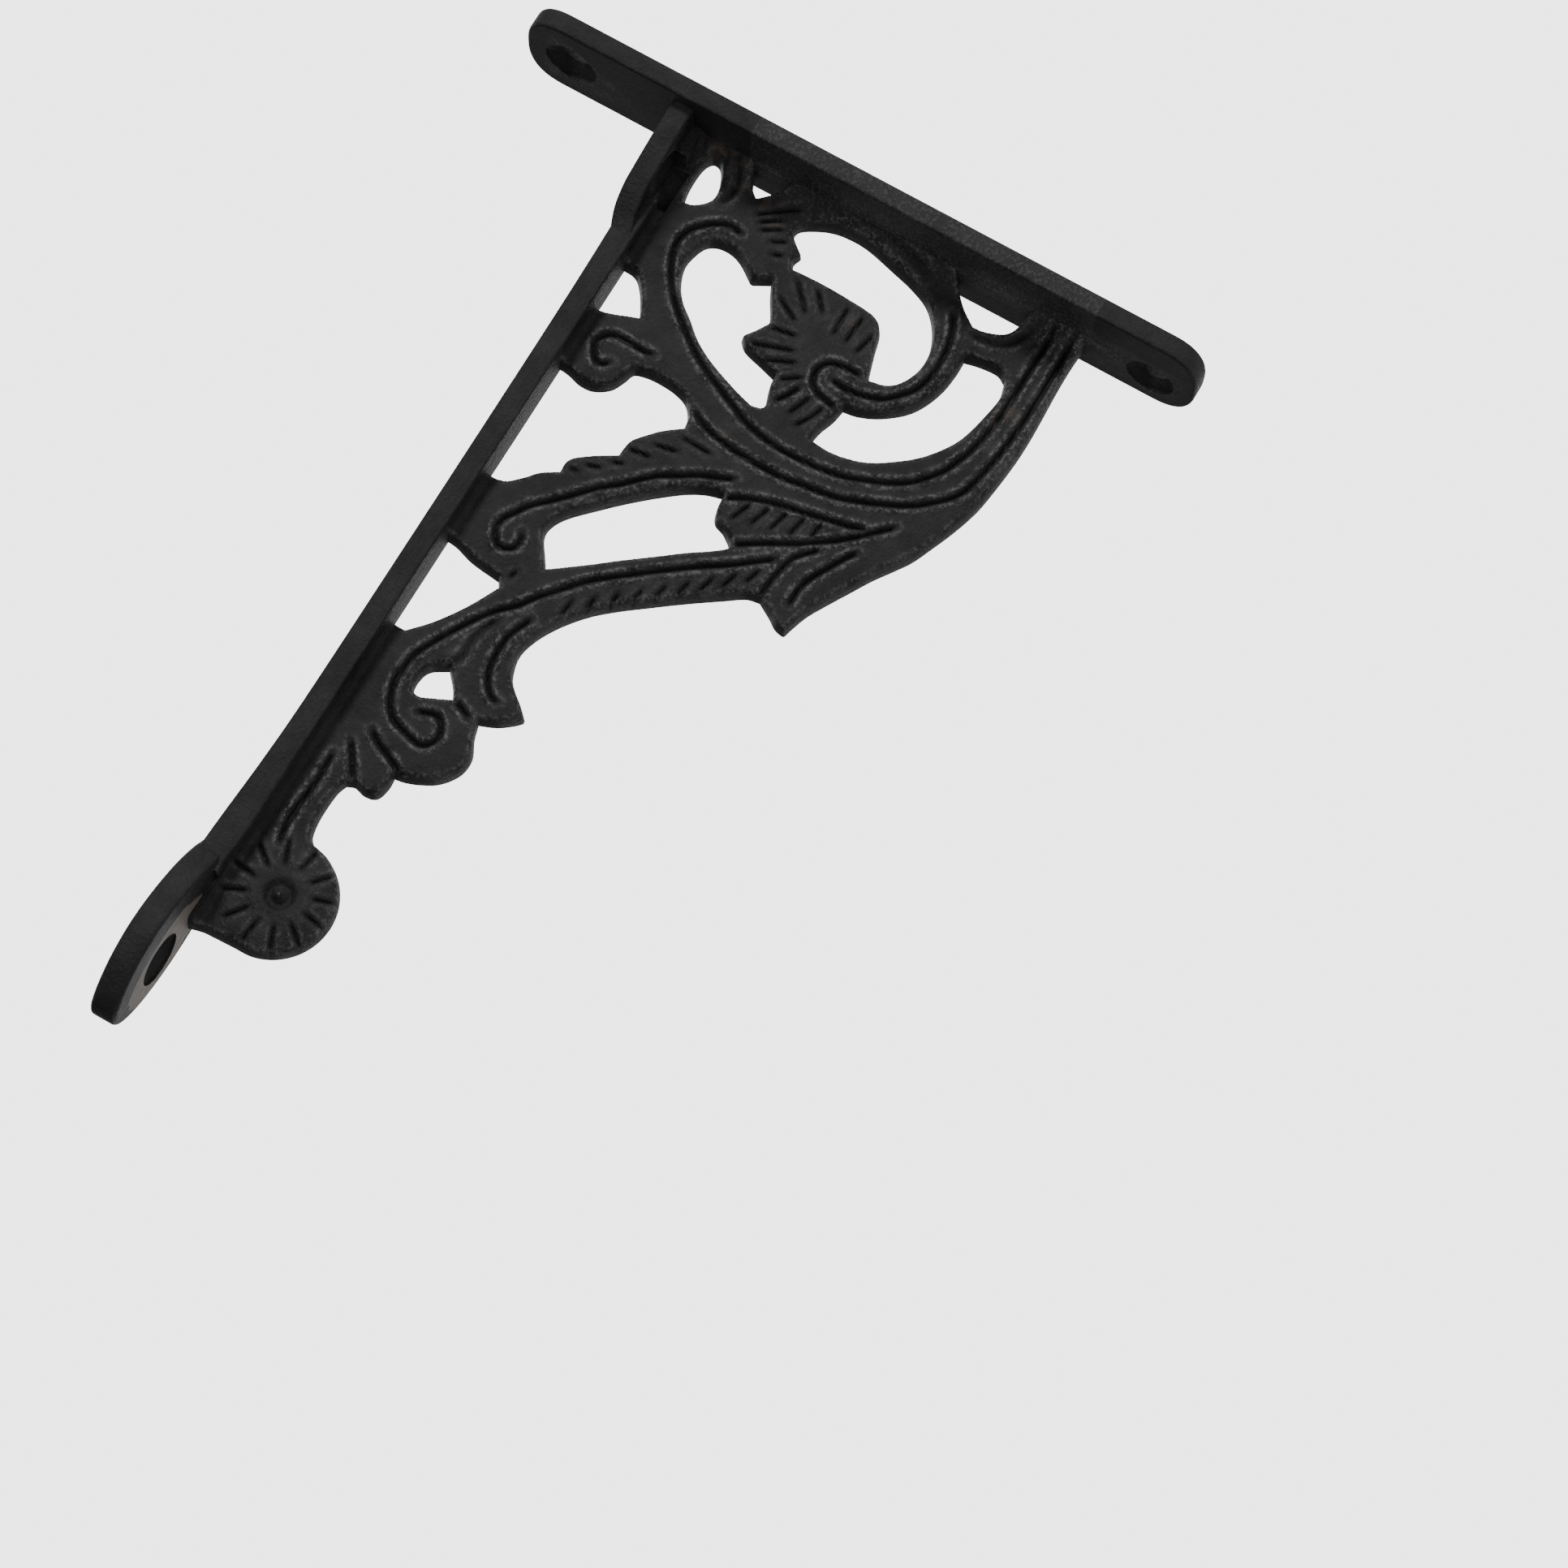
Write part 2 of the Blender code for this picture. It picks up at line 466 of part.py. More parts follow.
def walled(flat, faces, face):
    """Closes a carved face with walls and a flat back, as points (x, z, depth) and triangles."""
    sides = np.concatenate([faces[:, [0, 1]], faces[:, [1, 2]], faces[:, [2, 0]]])
    known = {(int(a), int(b)) for a, b in sides}
    rim = {a: b for a, b in known if (b, a) not in known}
    rings = []
    while rim:
        start, here = rim.popitem()
        ring = [start]
        while here != start:
            ring.append(here)
            here = rim.pop(here)
        rings.append(ring)
    points = [np.column_stack([flat, face])]
    triangles = [faces]
    base = len(flat)
    back, ties = [], []
    for ring in rings:
        loop = flat[ring]
        wide = loop + WEB_DRAFT * side_normals(loop)
        count = len(ring)
        low = base + np.arange(count)
        top = np.array(ring)
        after = np.roll(np.arange(count), -1)
        triangles.append(np.column_stack([top[after], top, low]))
        triangles.append(np.column_stack([top[after], low, low[after]]))
        points.append(np.column_stack([wide, np.full(count, WEB_BACK)]))
        start = len(back)
        back.extend(wide)
        ties.extend((start + i, start + (i + 1) % count) for i in range(count))
        base += count
    found = delaunay_2d_cdt([Vector(p) for p in back], ties, [], 0, 1e-5)
    origin = [first[0] for first in found[3]]
    if len(found[0]) != len(back):
        raise ValueError("the web's back outline crosses itself")
    rear = np.array([[origin[i] for i in corners] for corners in found[2]])
    back = np.array(back)
    wide_loops = []
    start = 0
    for ring in rings:
        wide_loops.append(back[start: start + len(ring)])
        start += len(ring)
    rear = rear[inside(back[rear].mean(1), wide_loops)]
    a, b, c = back[rear].transpose(1, 0, 2)
    area = (b - a)[:, 0] * (c - a)[:, 1] - (b - a)[:, 1] * (c - a)[:, 0]
    rear[area > 0] = rear[area > 0][:, ::-1]
    triangles.append(rear + len(flat))
    return np.vstack(points), np.vstack(triangles)


def to_world(x, depth, z):
    """Millimetres along the arm, over the back plane and up, to metres in the part's frame."""
    return np.column_stack([x, PLATE_WIDTH / 2 - np.asarray(depth), z]) * MM


def make_object(name, points, faces):
    mesh = bpy.data.meshes.new(name)
    mesh.from_pydata([tuple(p) for p in points], [], [tuple(int(i) for i in f) for f in faces])
    mesh.validate()
    obj = bpy.data.objects.new(name, mesh)
    bpy.context.collection.objects.link(obj)
    return obj


def slab(name, outline, low, high, edge, place, low_outline=None):
    """A plate with softened edges: the outline carried from low to high, placed by place(u, v, level)."""
    outline = turned_out(np.asarray(outline), False)
    first = outline if low_outline is None else turned_out(np.asarray(low_outline), False)
    rings = [
        (first - edge * side_normals(first), low), (first, low + edge),
        (outline, high - edge), (outline - edge * side_normals(outline), high),
    ]
    count = len(outline)
    points = np.vstack([np.column_stack([ring, np.full(count, level)]) for ring, level in rings])
    faces = [list(range(count))[::-1]]
    for k in range(3):
        for i in range(count):
            j = (i + 1) % count
            faces.append([k * count + i, k * count + j, (k + 1) * count + j, (k + 1) * count + i])
    faces.append([3 * count + i for i in range(count)])
    world = place(*points.T)
    a, b, c = world[faces[1][0]], world[faces[1][1]], world[faces[1][2]]
    outward = np.cross(b - a, c - a) @ (a - world.mean(0))
    if outward < 0:
        faces = [face[::-1] for face in faces]
    return make_object(name, world, faces)


def plate_outline():
    """The plate seen from the wall: straight sides and superellipse ends, as (depth, z)."""
    half = PLATE_WIDTH / 2
    angles = np.linspace(0, math.pi, PLATE_END_POINTS)
    power = 2 / PLATE_END_POWER
    across = half * np.sign(np.cos(angles)) * np.abs(np.cos(angles)) ** power
    along = PLATE_END_LENGTH * np.abs(np.sin(angles)) ** power
    top = np.column_stack([half + across, PLATE_TOP - PLATE_END_LENGTH + along])
    bottom = np.column_stack([half - across, PLATE_BOTTOM + PLATE_END_LENGTH - along])
    return np.vstack([top, bottom])


def rail_outline(underside):
    """The shelf rail seen from the front, a little hollow between its two pads."""
    lower = [(RAIL_RIGHT, underside), (-160, underside), (RAIL_LEFT + 1, underside + 0.6)]
    return np.vstack([lower, catmull_rom(RAIL_TOP, RAIL_STEP)])


def pad_outline():
    """The pad beside the plate, seen from above, as (x, depth)."""
    return np.vstack([catmull_rom(PAD_FRONT, PAD_STEP), catmull_rom(PAD_REAR, PAD_STEP)])


def bored(name, centre, axis, mouth_radius, length, before=1.0):
    """A countersunk screw hole's cutter: the mouth from a little before the face, a cone, then the shank."""
    axis = np.asarray(axis, float)
    other = np.array([0.0, 1.0, 0.0])
    third = np.cross(axis, other)
    cone = mouth_radius - SCREW_RADIUS
    along = np.array([-before, SCREW_MOUTH, SCREW_MOUTH + cone, length])
    radius = np.array([mouth_radius, mouth_radius, SCREW_RADIUS, SCREW_RADIUS])
    angles = np.linspace(0, 2 * math.pi, SCREW_SIDES, endpoint=False)
    rim = np.cos(angles)[:, None] * other + np.sin(angles)[:, None] * third
    points = (centre + along[:, None, None] * axis + radius[:, None, None] * rim).reshape(-1, 3)
    last = (len(along) - 1) * SCREW_SIDES
    faces = [list(range(SCREW_SIDES))[::-1], list(range(last, last + SCREW_SIDES))]
    for k in range(len(along) - 1):
        for i in range(SCREW_SIDES):
            j = (i + 1) % SCREW_SIDES
            here, above = k * SCREW_SIDES, (k + 1) * SCREW_SIDES
            faces.append([here + i, here + j, above + j, above + i])
    return make_object(name, points * MM, faces)


def join(target, other, operation):
    modifier = target.modifiers.new(other.name, "BOOLEAN")
    modifier.operation = operation
    modifier.solver = "EXACT"
    modifier.object = other
    other.hide_render = True
    other.display_type = "WIRE"


def cast_iron():
    material = bpy.data.materials.new("cast_iron")
    material.use_nodes = True
    shader = material.node_tree.nodes["Principled BSDF"]
    shader.inputs["Base Color"].default_value = (0.018, 0.018, 0.019, 1)
    shader.inputs["Metallic"].default_value = 0.35
    shader.inputs["Roughness"].default_value = 0.55
    return material


def main():
    for obj in list(bpy.data.objects):
        bpy.data.objects.remove(obj)
    half = PLATE_WIDTH / 2
    points, faces = web_mesh()
    web = make_object("web", to_world(points[:, 0], points[:, 2], points[:, 1]), faces)
    plate = slab(
        "shelf_bracket", plate_outline(), -PLATE_THICK, 0.0, PLATE_EDGE, lambda d, z, x: to_world(x, d, z),
    )
    rail = slab(
        "rail", rail_outline(RAIL_UNDERSIDE), RAIL_BACK, RAIL_FRONT, RAIL_EDGE,
        lambda x, z, d: to_world(x, d, z), rail_outline(RAIL_UNDERSIDE_BACK),
    )
    pad = slab("pad", pad_outline(), PAD_UNDERSIDE, SEAT, PAD_EDGE, lambda x, d, z: to_world(x, d, z))
    lug_outline = catmull_rom(LUG_OUTLINE, LUG_STEP)
    lug = slab("lug", lug_outline, LUG_UNDERSIDE, SEAT, LUG_EDGE, lambda x, d, z: to_world(x, d, z))
    for other in (rail, pad, lug, web):
        join(plate, other, "UNION")
    for name, (depth, z, mouth) in PLATE_SCREWS.items():
        centre = np.array([-PLATE_THICK, half - depth, z])
        hole = bored(name + "_wall_screw", centre, (1, 0, 0), mouth, PLATE_THICK + SCREW_OVERRUN)
        join(plate, hole, "DIFFERENCE")
    for name, (x, depth, mouth, underside, before) in SHELF_SCREWS.items():
        centre = np.array([x, half - depth, underside])
        hole = bored(name + "_shelf_screw", centre, (0, 0, 1), mouth, SHELF_SCREW_LENGTH, before)
        join(plate, hole, "DIFFERENCE")
    plate.data.materials.append(cast_iron())


main()
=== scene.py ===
import math

import bpy
import numpy as np
from mathutils import Matrix, Vector
from mathutils.geometry import delaunay_2d_cdt


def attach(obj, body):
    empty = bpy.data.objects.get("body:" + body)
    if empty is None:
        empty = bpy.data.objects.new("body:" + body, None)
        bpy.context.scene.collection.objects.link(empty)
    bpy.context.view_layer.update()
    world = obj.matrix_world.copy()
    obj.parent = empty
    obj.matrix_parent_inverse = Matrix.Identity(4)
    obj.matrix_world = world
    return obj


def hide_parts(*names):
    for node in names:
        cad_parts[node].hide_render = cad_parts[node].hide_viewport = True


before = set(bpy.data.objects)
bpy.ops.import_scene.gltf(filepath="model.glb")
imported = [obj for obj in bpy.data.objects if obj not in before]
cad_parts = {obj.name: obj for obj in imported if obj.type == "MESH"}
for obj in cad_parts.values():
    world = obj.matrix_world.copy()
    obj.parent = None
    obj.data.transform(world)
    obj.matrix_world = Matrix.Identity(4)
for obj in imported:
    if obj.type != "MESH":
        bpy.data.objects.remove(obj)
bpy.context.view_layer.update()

bl_info = {
    "name": "Ornate cast iron shelf bracket",
    "version": (1, 0, 0),
    "blender": (4, 5, 0),
    "location": "View3D > Sidebar > Bracket",
    "description": "Makes the carved bracket casting and a plain studio around it",
    "category": "Object",
}

MM = 0.001
CORNER = True

# The casting's outlines, in millimetres: x along the arm from the wall, z up from the shelf's seat.

RIGHT_EDGE = -2.0
TOP_EDGE = -3.2

OUTLINE_LOWER = [
    (RIGHT_EDGE, -84.9, CORNER), (-7, -84.5), (-13, -84.5), (-20, -84.8), (-25, -84.9), (-30, -84.7),
    (-36, -84.1), (-40.6, -83.4), (-45.7, -81.9), (-50.6, -80), (-54.6, -78.3), (-57.6, -76.4),
    (-61.3, -73.9), (-65, -71.8), (-69.4, -69.3), (-72.8, -67.5), (-75.6, -66.5), (-78.2, -65.8, CORNER),
    (-77.8, -64.1), (-76.5, -62.2), (-74.8, -59.3, CORNER), (-75.4, -56.7), (-77.6, -53.5), (-80, -50.1),
    (-82.4, -46.8), (-85, -43.4), (-88.9, -38.4), (-92.6, -34.4), (-97.2, -30.9), (-101.6, -28.7),
    (-105.4, -28), (-109.3, -29.1), (-111.4, -30.9), (-113.3, -33.2), (-115.1, -35, CORNER),
    (-116.4, -33.7), (-118.1, -31.4), (-119.4, -28.3, CORNER), (-122.4, -29.2), (-125.6, -30.7),
    (-128.8, -30.5), (-131.9, -28.4), (-133.7, -25.6), (-134.7, -23.1), (-135.1, -21, CORNER),
    (-137.5, -21.1), (-139.8, -20.4), (-140.4, -18.4), (-139.9, -16.3), (-140.5, -14.6, CORNER),
    (-143, -13.9), (-148, -13.8), (-151.5, -14.4),
]
ROSETTE_CENTRE = (-164.0, -14.6)
ROSETTE_RADIUS = 11.0
ROSETTE_ARC = (-5.0, -187.0)
OUTLINE_UPPER = [(-175.1, -9.5), (-175.3, -7.2), (-176.4, TOP_EDGE, CORNER), (RIGHT_EDGE, TOP_EDGE, CORNER)]

OPENINGS = {
    "loop": [
        (-26, -15.2), (-23, -15.5), (-20.5, -16.5), (-19.2, -18.4), (-19, -21), (-19.9, -23.7),
        (-22.4, -27.3, CORNER), (-20.6, -30.5, CORNER), (-23.2, -31.8), (-27.6, -34.2), (-29.8, -33.6),
        (-33, -31.5, CORNER), (-34.5, -33.2), (-35.6, -37), (-36.6, -40.4, CORNER), (-38.6, -40.5),
        (-42.8, -41.7), (-43.9, -40), (-43.5, -37.8), (-42.2, -33.9), (-40, -28.6), (-37.6, -24.7),
        (-35, -21.7), (-32.7, -18.9), (-29.6, -16.5),
    ],
    "heart": [
        (-17.2, -32.5, CORNER), (-15.5, -31.7), (-13.7, -32.2, CORNER), (-12, -30.1), (-10.6, -29),
        (-8.9, -29.5), (-7.2, -32), (-6, -34.8), (-5.5, -38), (-5.7, -42), (-7.2, -48), (-8.6, -52.9),
        (-10.4, -56.7), (-13.3, -59.5), (-17, -61.4), (-20.9, -62), (-24.3, -61.4), (-27.2, -59.8),
        (-28.6, -57.8), (-29.2, -54.9, CORNER), (-27.6, -54.2), (-23.4, -52.9), (-19.6, -51.8),
        (-17.9, -50), (-17.3, -46.1), (-17, -39),
    ],
    "crescent": [
        (-44.3, -51.6, CORNER), (-44.7, -55.4), (-44.2, -59.2), (-42.9, -63), (-40.1, -67.2),
        (-37.2, -70.5), (-33.5, -73.3), (-30, -75), (-25, -76.2), (-20, -76.9), (-16.5, -76.1, CORNER),
        (-15.4, -74), (-15.6, -70.5), (-16.3, -67.4, CORNER), (-19.5, -67.4), (-23.5, -66.9),
        (-27.5, -65.5), (-30.5, -63.5), (-33.3, -60.1), (-35, -56.6), (-35.6, -53.5, CORNER), (-38.5, -53),
        (-41.5, -52),
    ],
    "wall_gap_upper": [
        (-8.4, -20, CORNER), (-6.6, -18.1), (-2.6, -16.4, CORNER), (-2.6, -25.2, CORNER), (-5, -23.9),
    ],
    "wall_gap_lower": [
        (-10.6, -66, CORNER), (-8.3, -62.9), (-5.8, -60.3), (-2.6, -57.5, CORNER), (-2.6, -74.6, CORNER),
        (-6, -73.4), (-8.8, -71.7), (-10.3, -68.5),
    ],
    "screw_access": [
        (-15.8, -8.8, CORNER), (-12, -8.1), (-7.4, -8.2), (-5.2, -9.4), (-5.6, -11.3), (-8, -12.7),
        (-11, -13.5), (-13.2, -13.1), (-15.2, -11),
    ],
    "rail_triangle": [
        (-42, -4.4, CORNER), (-41.6, -8), (-39.4, -14, CORNER), (-37.3, -13.1), (-33.8, -10.9), (-31.8, -8.5),
        (-31.6, -4.4, CORNER),
    ],
    "feather_gap": [
        (-79.2, -4.4, CORNER), (-78.8, -9), (-76.8, -11.6), (-74.2, -13.9), (-72.2, -16.9, CORNER),
        (-69.4, -17.1), (-66.7, -20.2), (-64.2, -24.2, CORNER), (-61.1, -24.5), (-58.9, -26),
        (-56.3, -28.4), (-53.8, -31.6, CORNER), (-51.2, -31), (-48.9, -29.2), (-47.8, -26.3), (-47.5, -23),
        (-47.7, -20.2), (-48.5, -18), (-50.6, -17.2), (-53, -16), (-54.7, -13.6), (-55, -11), (-54.2, -7.8),
        (-54, -4.4, CORNER),
    ],
    "slot": [
        (-89.5, -24, CORNER), (-86.8, -22.2), (-83.8, -20.3), (-81.3, -20.3), (-78.3, -21.9),
        (-74.1, -25.8), (-70.4, -29.5), (-66.7, -33.6), (-63.7, -37.4), (-61.9, -40.6),
        (-60.9, -43.9, CORNER), (-64, -44.3), (-66, -45.2), (-67, -47.5), (-69.2, -49.8), (-71.3, -47.9),
        (-74.1, -43.9), (-77.8, -39.1), (-81.5, -34.3), (-85.2, -29.7),
    ],
    "stem_triangle": [
        (-111.7, -4.4, CORNER), (-111.6, -9, CORNER), (-107.5, -12.6), (-102.3, -16), (-96.3, -19, CORNER),
        (-94.6, -18, CORNER), (-93.9, -12.1), (-92.7, -8), (-92.5, -4.4, CORNER),
    ],
    "spiral_gap": [
        (-120.9, -17.2), (-120, -15.5), (-117.5, -15.3), (-115.2, -16.2), (-113.2, -19.2, CORNER),
        (-116, -21.6), (-118.4, -22.9, CORNER), (-119.8, -20),
    ],
}

# Carved lines: (depth, half width, share of it that is a wide hollow) and the centre line of each.

DEEP = (1.0, 0.27, 0.36)
SOFT = (0.6, 0.34, 0.3)
FINE = (0.8, 0.26, 0.12)
RAY = (0.8, 0.26, 0.15)

GROOVES = [
    (DEEP, [(-4, -83), (-7, -82.9), (-18.7, -83), (-29.6, -82.3), (-36.9, -81.1), (-40.6, -79.8),
            (-43.5, -77.4), (-46.9, -73.3), (-49.1, -68.9), (-50.9, -64.8), (-52.2, -60.7), (-53.1, -54.8),
            (-53.7, -50), (-53.5, -42.4), (-53, -38.7), (-52.2, -35), (-50.4, -31.3)]),
    (DEEP, [(-4, -79.1), (-10, -79.1), (-18.7, -79), (-26.1, -78.6), (-32, -77.6), (-35.3, -76.5),
            (-38.3, -75.1), (-42.4, -71.8), (-44.8, -68.3), (-46.6, -64.2), (-48.2, -59.5), (-49, -53),
            (-49, -47), (-48, -41.5), (-46.1, -36.9), (-44, -32.4), (-42.2, -28.7), (-40.1, -25.4),
            (-37.2, -21.7), (-34.6, -18.7), (-31.3, -15.8), (-27.6, -13.6), (-23.9, -12.4), (-20.9, -12.8),
            (-18.7, -14.3), (-16.8, -16.5), (-15.9, -18.7), (-16.2, -21.5)]),
    (DEEP, [(-10.5, -61.9), (-13.9, -63.5), (-17.9, -64.4), (-23.1, -64.4), (-26.8, -63.3), (-29.8, -60.9),
            (-31.6, -58.7), (-32.7, -55.4), (-33.1, -51.7), (-32.6, -49.4)]),
    (SOFT, [(-4, -38), (-4.2, -42), (-4.6, -46), (-5.1, -48.7), (-5.7, -51.7), (-6.8, -54.3)]),
    (DEEP, [(-37.2, -52.8), (-36.6, -49.8), (-35.7, -47.6), (-33.9, -46.5), (-32, -46.4), (-30.3, -47.4),
            (-29.6, -49.4), (-29.4, -53.5)]),
    (FINE, [(-33.9, -33.6), (-31.3, -41.1)]),
    (FINE, [(-29.4, -35), (-28.6, -40.2)]),
    (FINE, [(-35.4, -37.4), (-33.1, -42.6)]),
    (FINE, [(-37.4, -41.3), (-35, -45)]),
    (DEEP, [(-41.3, -42.8), (-39.2, -44.3), (-36.8, -45.4)]),
    (FINE, [(-42.4, -46.1), (-37.7, -48)]),
    (FINE, [(-43.9, -48.2), (-40.9, -49.9), (-37.9, -51)]),
    (FINE, [(-19, -34.7), (-23.9, -39.1)]),
    (FINE, [(-18.7, -38.7), (-22.6, -41.9)]),
    (FINE, [(-19, -45.2), (-25.2, -45.4)]),
    (FINE, [(-19.2, -48.4), (-25.3, -48)]),
    (FINE, [(-21, -51.8), (-26.1, -50.6)]),
    (FINE, [(-23.5, -33.5), (-26.2, -38.3)]),
    (FINE, [(-11.6, -21.7), (-8.3, -25.8), (-6.6, -28.7)]),
    (FINE, [(-12.7, -22.8), (-9.9, -26.9)]),
    (FINE, [(-13.9, -23.9), (-11.6, -27.6)]),
    (FINE, [(-15, -26.5), (-13.3, -29.5)]),
    (FINE, [(-17, -28), (-16.1, -30.2)]),
    (SOFT, [(-12.9, -14.9), (-10.6, -15.9), (-7.6, -15.6), (-5.3, -14.3)]),
    (SOFT, [(-12.2, -66.9), (-12.2, -68.7), (-11.6, -71.7), (-10.1, -73.7), (-6, -75.8)]),
    (DEEP, [(-49.8, -14.1), (-50.9, -12.8), (-50.9, -11.7), (-50, -10.7), (-48, -9.7), (-46.2, -10.3),
            (-45, -12), (-44.9, -15), (-45, -17.6), (-44.8, -19.9)]),
    (DEEP, [(-85.9, -17.3), (-87.2, -17.8), (-88.9, -17.6), (-89.8, -16.5), (-90.1, -15), (-88.9, -13.7),
            (-87.4, -12.9), (-85.2, -13.1), (-83.3, -14.3), (-80.7, -16), (-77.8, -18.9), (-74.8, -21.7),
            (-71.9, -24.3), (-69.3, -27.3), (-66.7, -29.9), (-64.4, -32.4), (-62.6, -35.4), (-60.7, -38.4),
            (-59.3, -41.7), (-58.1, -44.3)]),
    (FINE, [(-94.4, -19.5), (-92.4, -20.4)]),
    (DEEP, [(-67.6, -58.1), (-70.2, -54.8), (-72.8, -51.5), (-75.7, -47.2), (-79.3, -42.4), (-82.2, -38.7),
            (-85.2, -35), (-88.1, -31.7), (-91.1, -29.1), (-94.8, -26), (-98.2, -23.6), (-100.8, -21),
            (-104.5, -18.4), (-109, -15.8), (-112.7, -13.9), (-115.3, -12.9), (-118.2, -12.6),
            (-120.8, -12.6), (-123, -13.2), (-125.3, -14.3), (-127.1, -16.1), (-128, -18.7),
            (-128.8, -22.1), (-127.9, -23.7), (-125.8, -24.5), (-123.8, -23.7), (-122.7, -22.3),
            (-123.2, -20.2), (-123.8, -18.9)]),
    (DEEP, [(-68.9, -50.4), (-66.1, -54.8), (-63.1, -60), (-61.3, -62.6), (-59.1, -65.6), (-56.5, -68.5),
            (-53.9, -71.1), (-51.7, -73.3)]),
    (DEEP, [(-62, -44.4), (-59.8, -48.9), (-58.3, -53.7), (-57.4, -58.1), (-56.5, -62.2), (-55.7, -65.9),
            (-54.6, -69.3)]),
    (DEEP, [(-74.8, -59.1), (-70.2, -59.6), (-66.5, -60.4), (-65, -61.3), (-62, -63.9)]),
    (DEEP, [(-73.9, -64.3), (-70.2, -64.4), (-67.2, -65.4), (-64.3, -66.9), (-61.3, -68.5), (-59.4, -69.8)]),
    (DEEP, [(-115.3, -29.9), (-114.9, -28.4), (-113.4, -26.9), (-110.8, -25.6), (-107.5, -25.1),
            (-104.1, -25.2), (-101.6, -26), (-99, -27.1)]),
    (SOFT, [(-113.2, -19.3), (-110.8, -20.2), (-107.5, -20.2), (-104.1, -21.1), (-102.3, -22.1)]),
    (DEEP, [(-118.8, -23.6), (-119.5, -25.4), (-120.3, -27.3)]),
    (DEEP, [(-140.1, -15.8), (-137.1, -13.9), (-134.1, -11.8)]),
    (DEEP, [(-134.9, -22.1), (-133.8, -19.9), (-132.3, -16.5), (-130.6, -13.9)]),
    (DEEP, [(-156.1, -11.1), (-153.9, -10.4), (-148.7, -10.2), (-143.1, -10.6), (-137.6, -10.3)]),
]

# Rows of short cuts: how many, where the first and the last start, and the first's and the last's stroke.

HATCHES = [
    (9, (-96.0, -31.0), (-74.2, -55.6), (3.8, -0.5), (3.4, -1.2)),
    (5, (-65.2, -47.4), (-61.6, -61.2), (5.0, -1.9), (4.4, -0.6)),
]
FEATHER_CUTS = [
    [(-71.1, -18.2), (-70.9, -19.9)], [(-69.1, -20.2), (-68.1, -23.2)], [(-66.3, -23.9), (-65.4, -26.3)],
    [(-62.6, -25.2), (-62, -29.5)], [(-59.6, -28.7), (-58.7, -33.2)], [(-55.9, -32.1), (-56.1, -38.4)],
]

# Rosette at the tip of the arm.

ROSETTE_RAYS = 12
ROSETTE_FIRST_RAY = 172.0
ROSETTE_RAY_SPAN = (5.4, 10.4)
BOSS_CENTRE = (-164.1, -16.0)
BOSS_RADIUS = 2.9

# Relief of the carved face. Widths across a line are shares of its half width, and on the boss of its radius.

SAMPLE = 0.32
LINE_REACH = 7
HOLLOW_SPREAD = 2.8
LINE_END_DEPTH = 0.35
LINE_END_LENGTH = 0.9
BEAD_PLACE = 4
BEAD_WIDTH = 1.7
BEAD_SHARE = 0.95
BEAD_FREE_OF_EDGE = 0.8
NUB_RISE, NUB_WIDTH = 2.0, 0.36
PIT_DEPTH, PIT_WIDTH, PIT_POWER = 1.35, 0.9, 6
DISH_RISE, DISH_WIDTH = 0.5, 1.9
RIM_DROP = 0.3
EDGE_SLUMP = 0.55
PLATE_FILLET = (-9.5, 5.5, 3.6, 2.5)
RAIL_FILLET = (-7.4, 1.4, 1.3, 2)
UNEVENNESS = ((0.05, 3.1, 5), (0.03, 1.2, 9))

# Wear and painted light: ridges, edges and the nub go pale, partly as wear and partly as painted highlight;
# the cuts, the boss's pit and sunk corners get painted shade.

CREST_OF_BEAD, CREST_LOST_TO_CUT = 3.6, 1.5
EDGE_WEAR_AND_HIGHLIGHT, EDGE_WEAR_AND_HIGHLIGHT_PLACE, EDGE_WEAR_AND_HIGHLIGHT_WIDTH = 0.7, 0.45, 0.4
PIT_SHADE_PLACE, PIT_SHADE_WIDTH, NUB_HIGHLIGHT_WIDTH = 0.66, 0.2, 0.22
CUT_SHADE_DEPTH = 0.9
FACE_TOLERANCE = 0.25
PROUD_GAIN, PROUD_START, SUNK_SHADE_START = 3.0, 0.35, 0.2

# Web walls: how far the upper ring stands out and under the face, and the chamfer at the back.

UPPER_RING = (0.12, 0.5)
BACK_CHAMFER = 0.4

# Edge map: distances are kept up to this far, and worked out for so many sides or points at a time.

EDGE_REACH = 4.0
SIDES_AT_ONCE = 24
POINTS_AT_ONCE = 400

# Plate, rail, pad (tab) and lug: depths are over the back plane.

PLATE_END = (8.0, 2.6)
LUG_LEVELS = (-5.0, 0.0)
RAIL_PROFILE = [
    (-167, -0.5), (-158, -0.9), (-145, -1.6), (-130, -1.95), (-90, -2.0), (-50, -1.9), (-30, -1.6),
    (-20, -1.2), (-3, -1.0),
]
TAB_FRONT = [(-29.7, 11.2), (-27, 12.2), (-22, 14.4), (-16, 15.9), (-9, 17), (-3, 17.6)]
TAB_REAR = [(-29.7, 2.6), (-26, 1.8), (-18, 0.9), (-3, 0.4)]
TAB_TOP = [(-29.7, -2.1), (-28, -1.3), (-25, -0.4), (-21, 0), (-18, 0), (-3, 0)]
LUG_OUTLINE = [(-162.2, 9), (-165.4, 12.6), (-170.4, 16.4), (-177, 19.3), (-183.5, 20.4), (-189.7, 19.2),
               (-194.9, 16), (-198.1, 11.8), (-197.8, 7.4), (-194, 3.5), (-188.2, 0.9), (-181, -0.2),
               (-173.3, 0.4), (-166.3, 2.8), (-162.2, 4.4), (-159.8, 6.8)]
PLATE_ROUND = 0.55
RAIL_ROUND = 0.5
TAB_ROUND = 0.6
LUG_ROUND = 0.8
CAP_INSET = 0.3
ROUND_STEPS = 5
RAIL_DEPTHS = (2.4, 11.5)
RAIL_UNDERSIDE, RAIL_TIP_LIFT = -6.25, 0.6
TAB_THICKNESS = 4.3

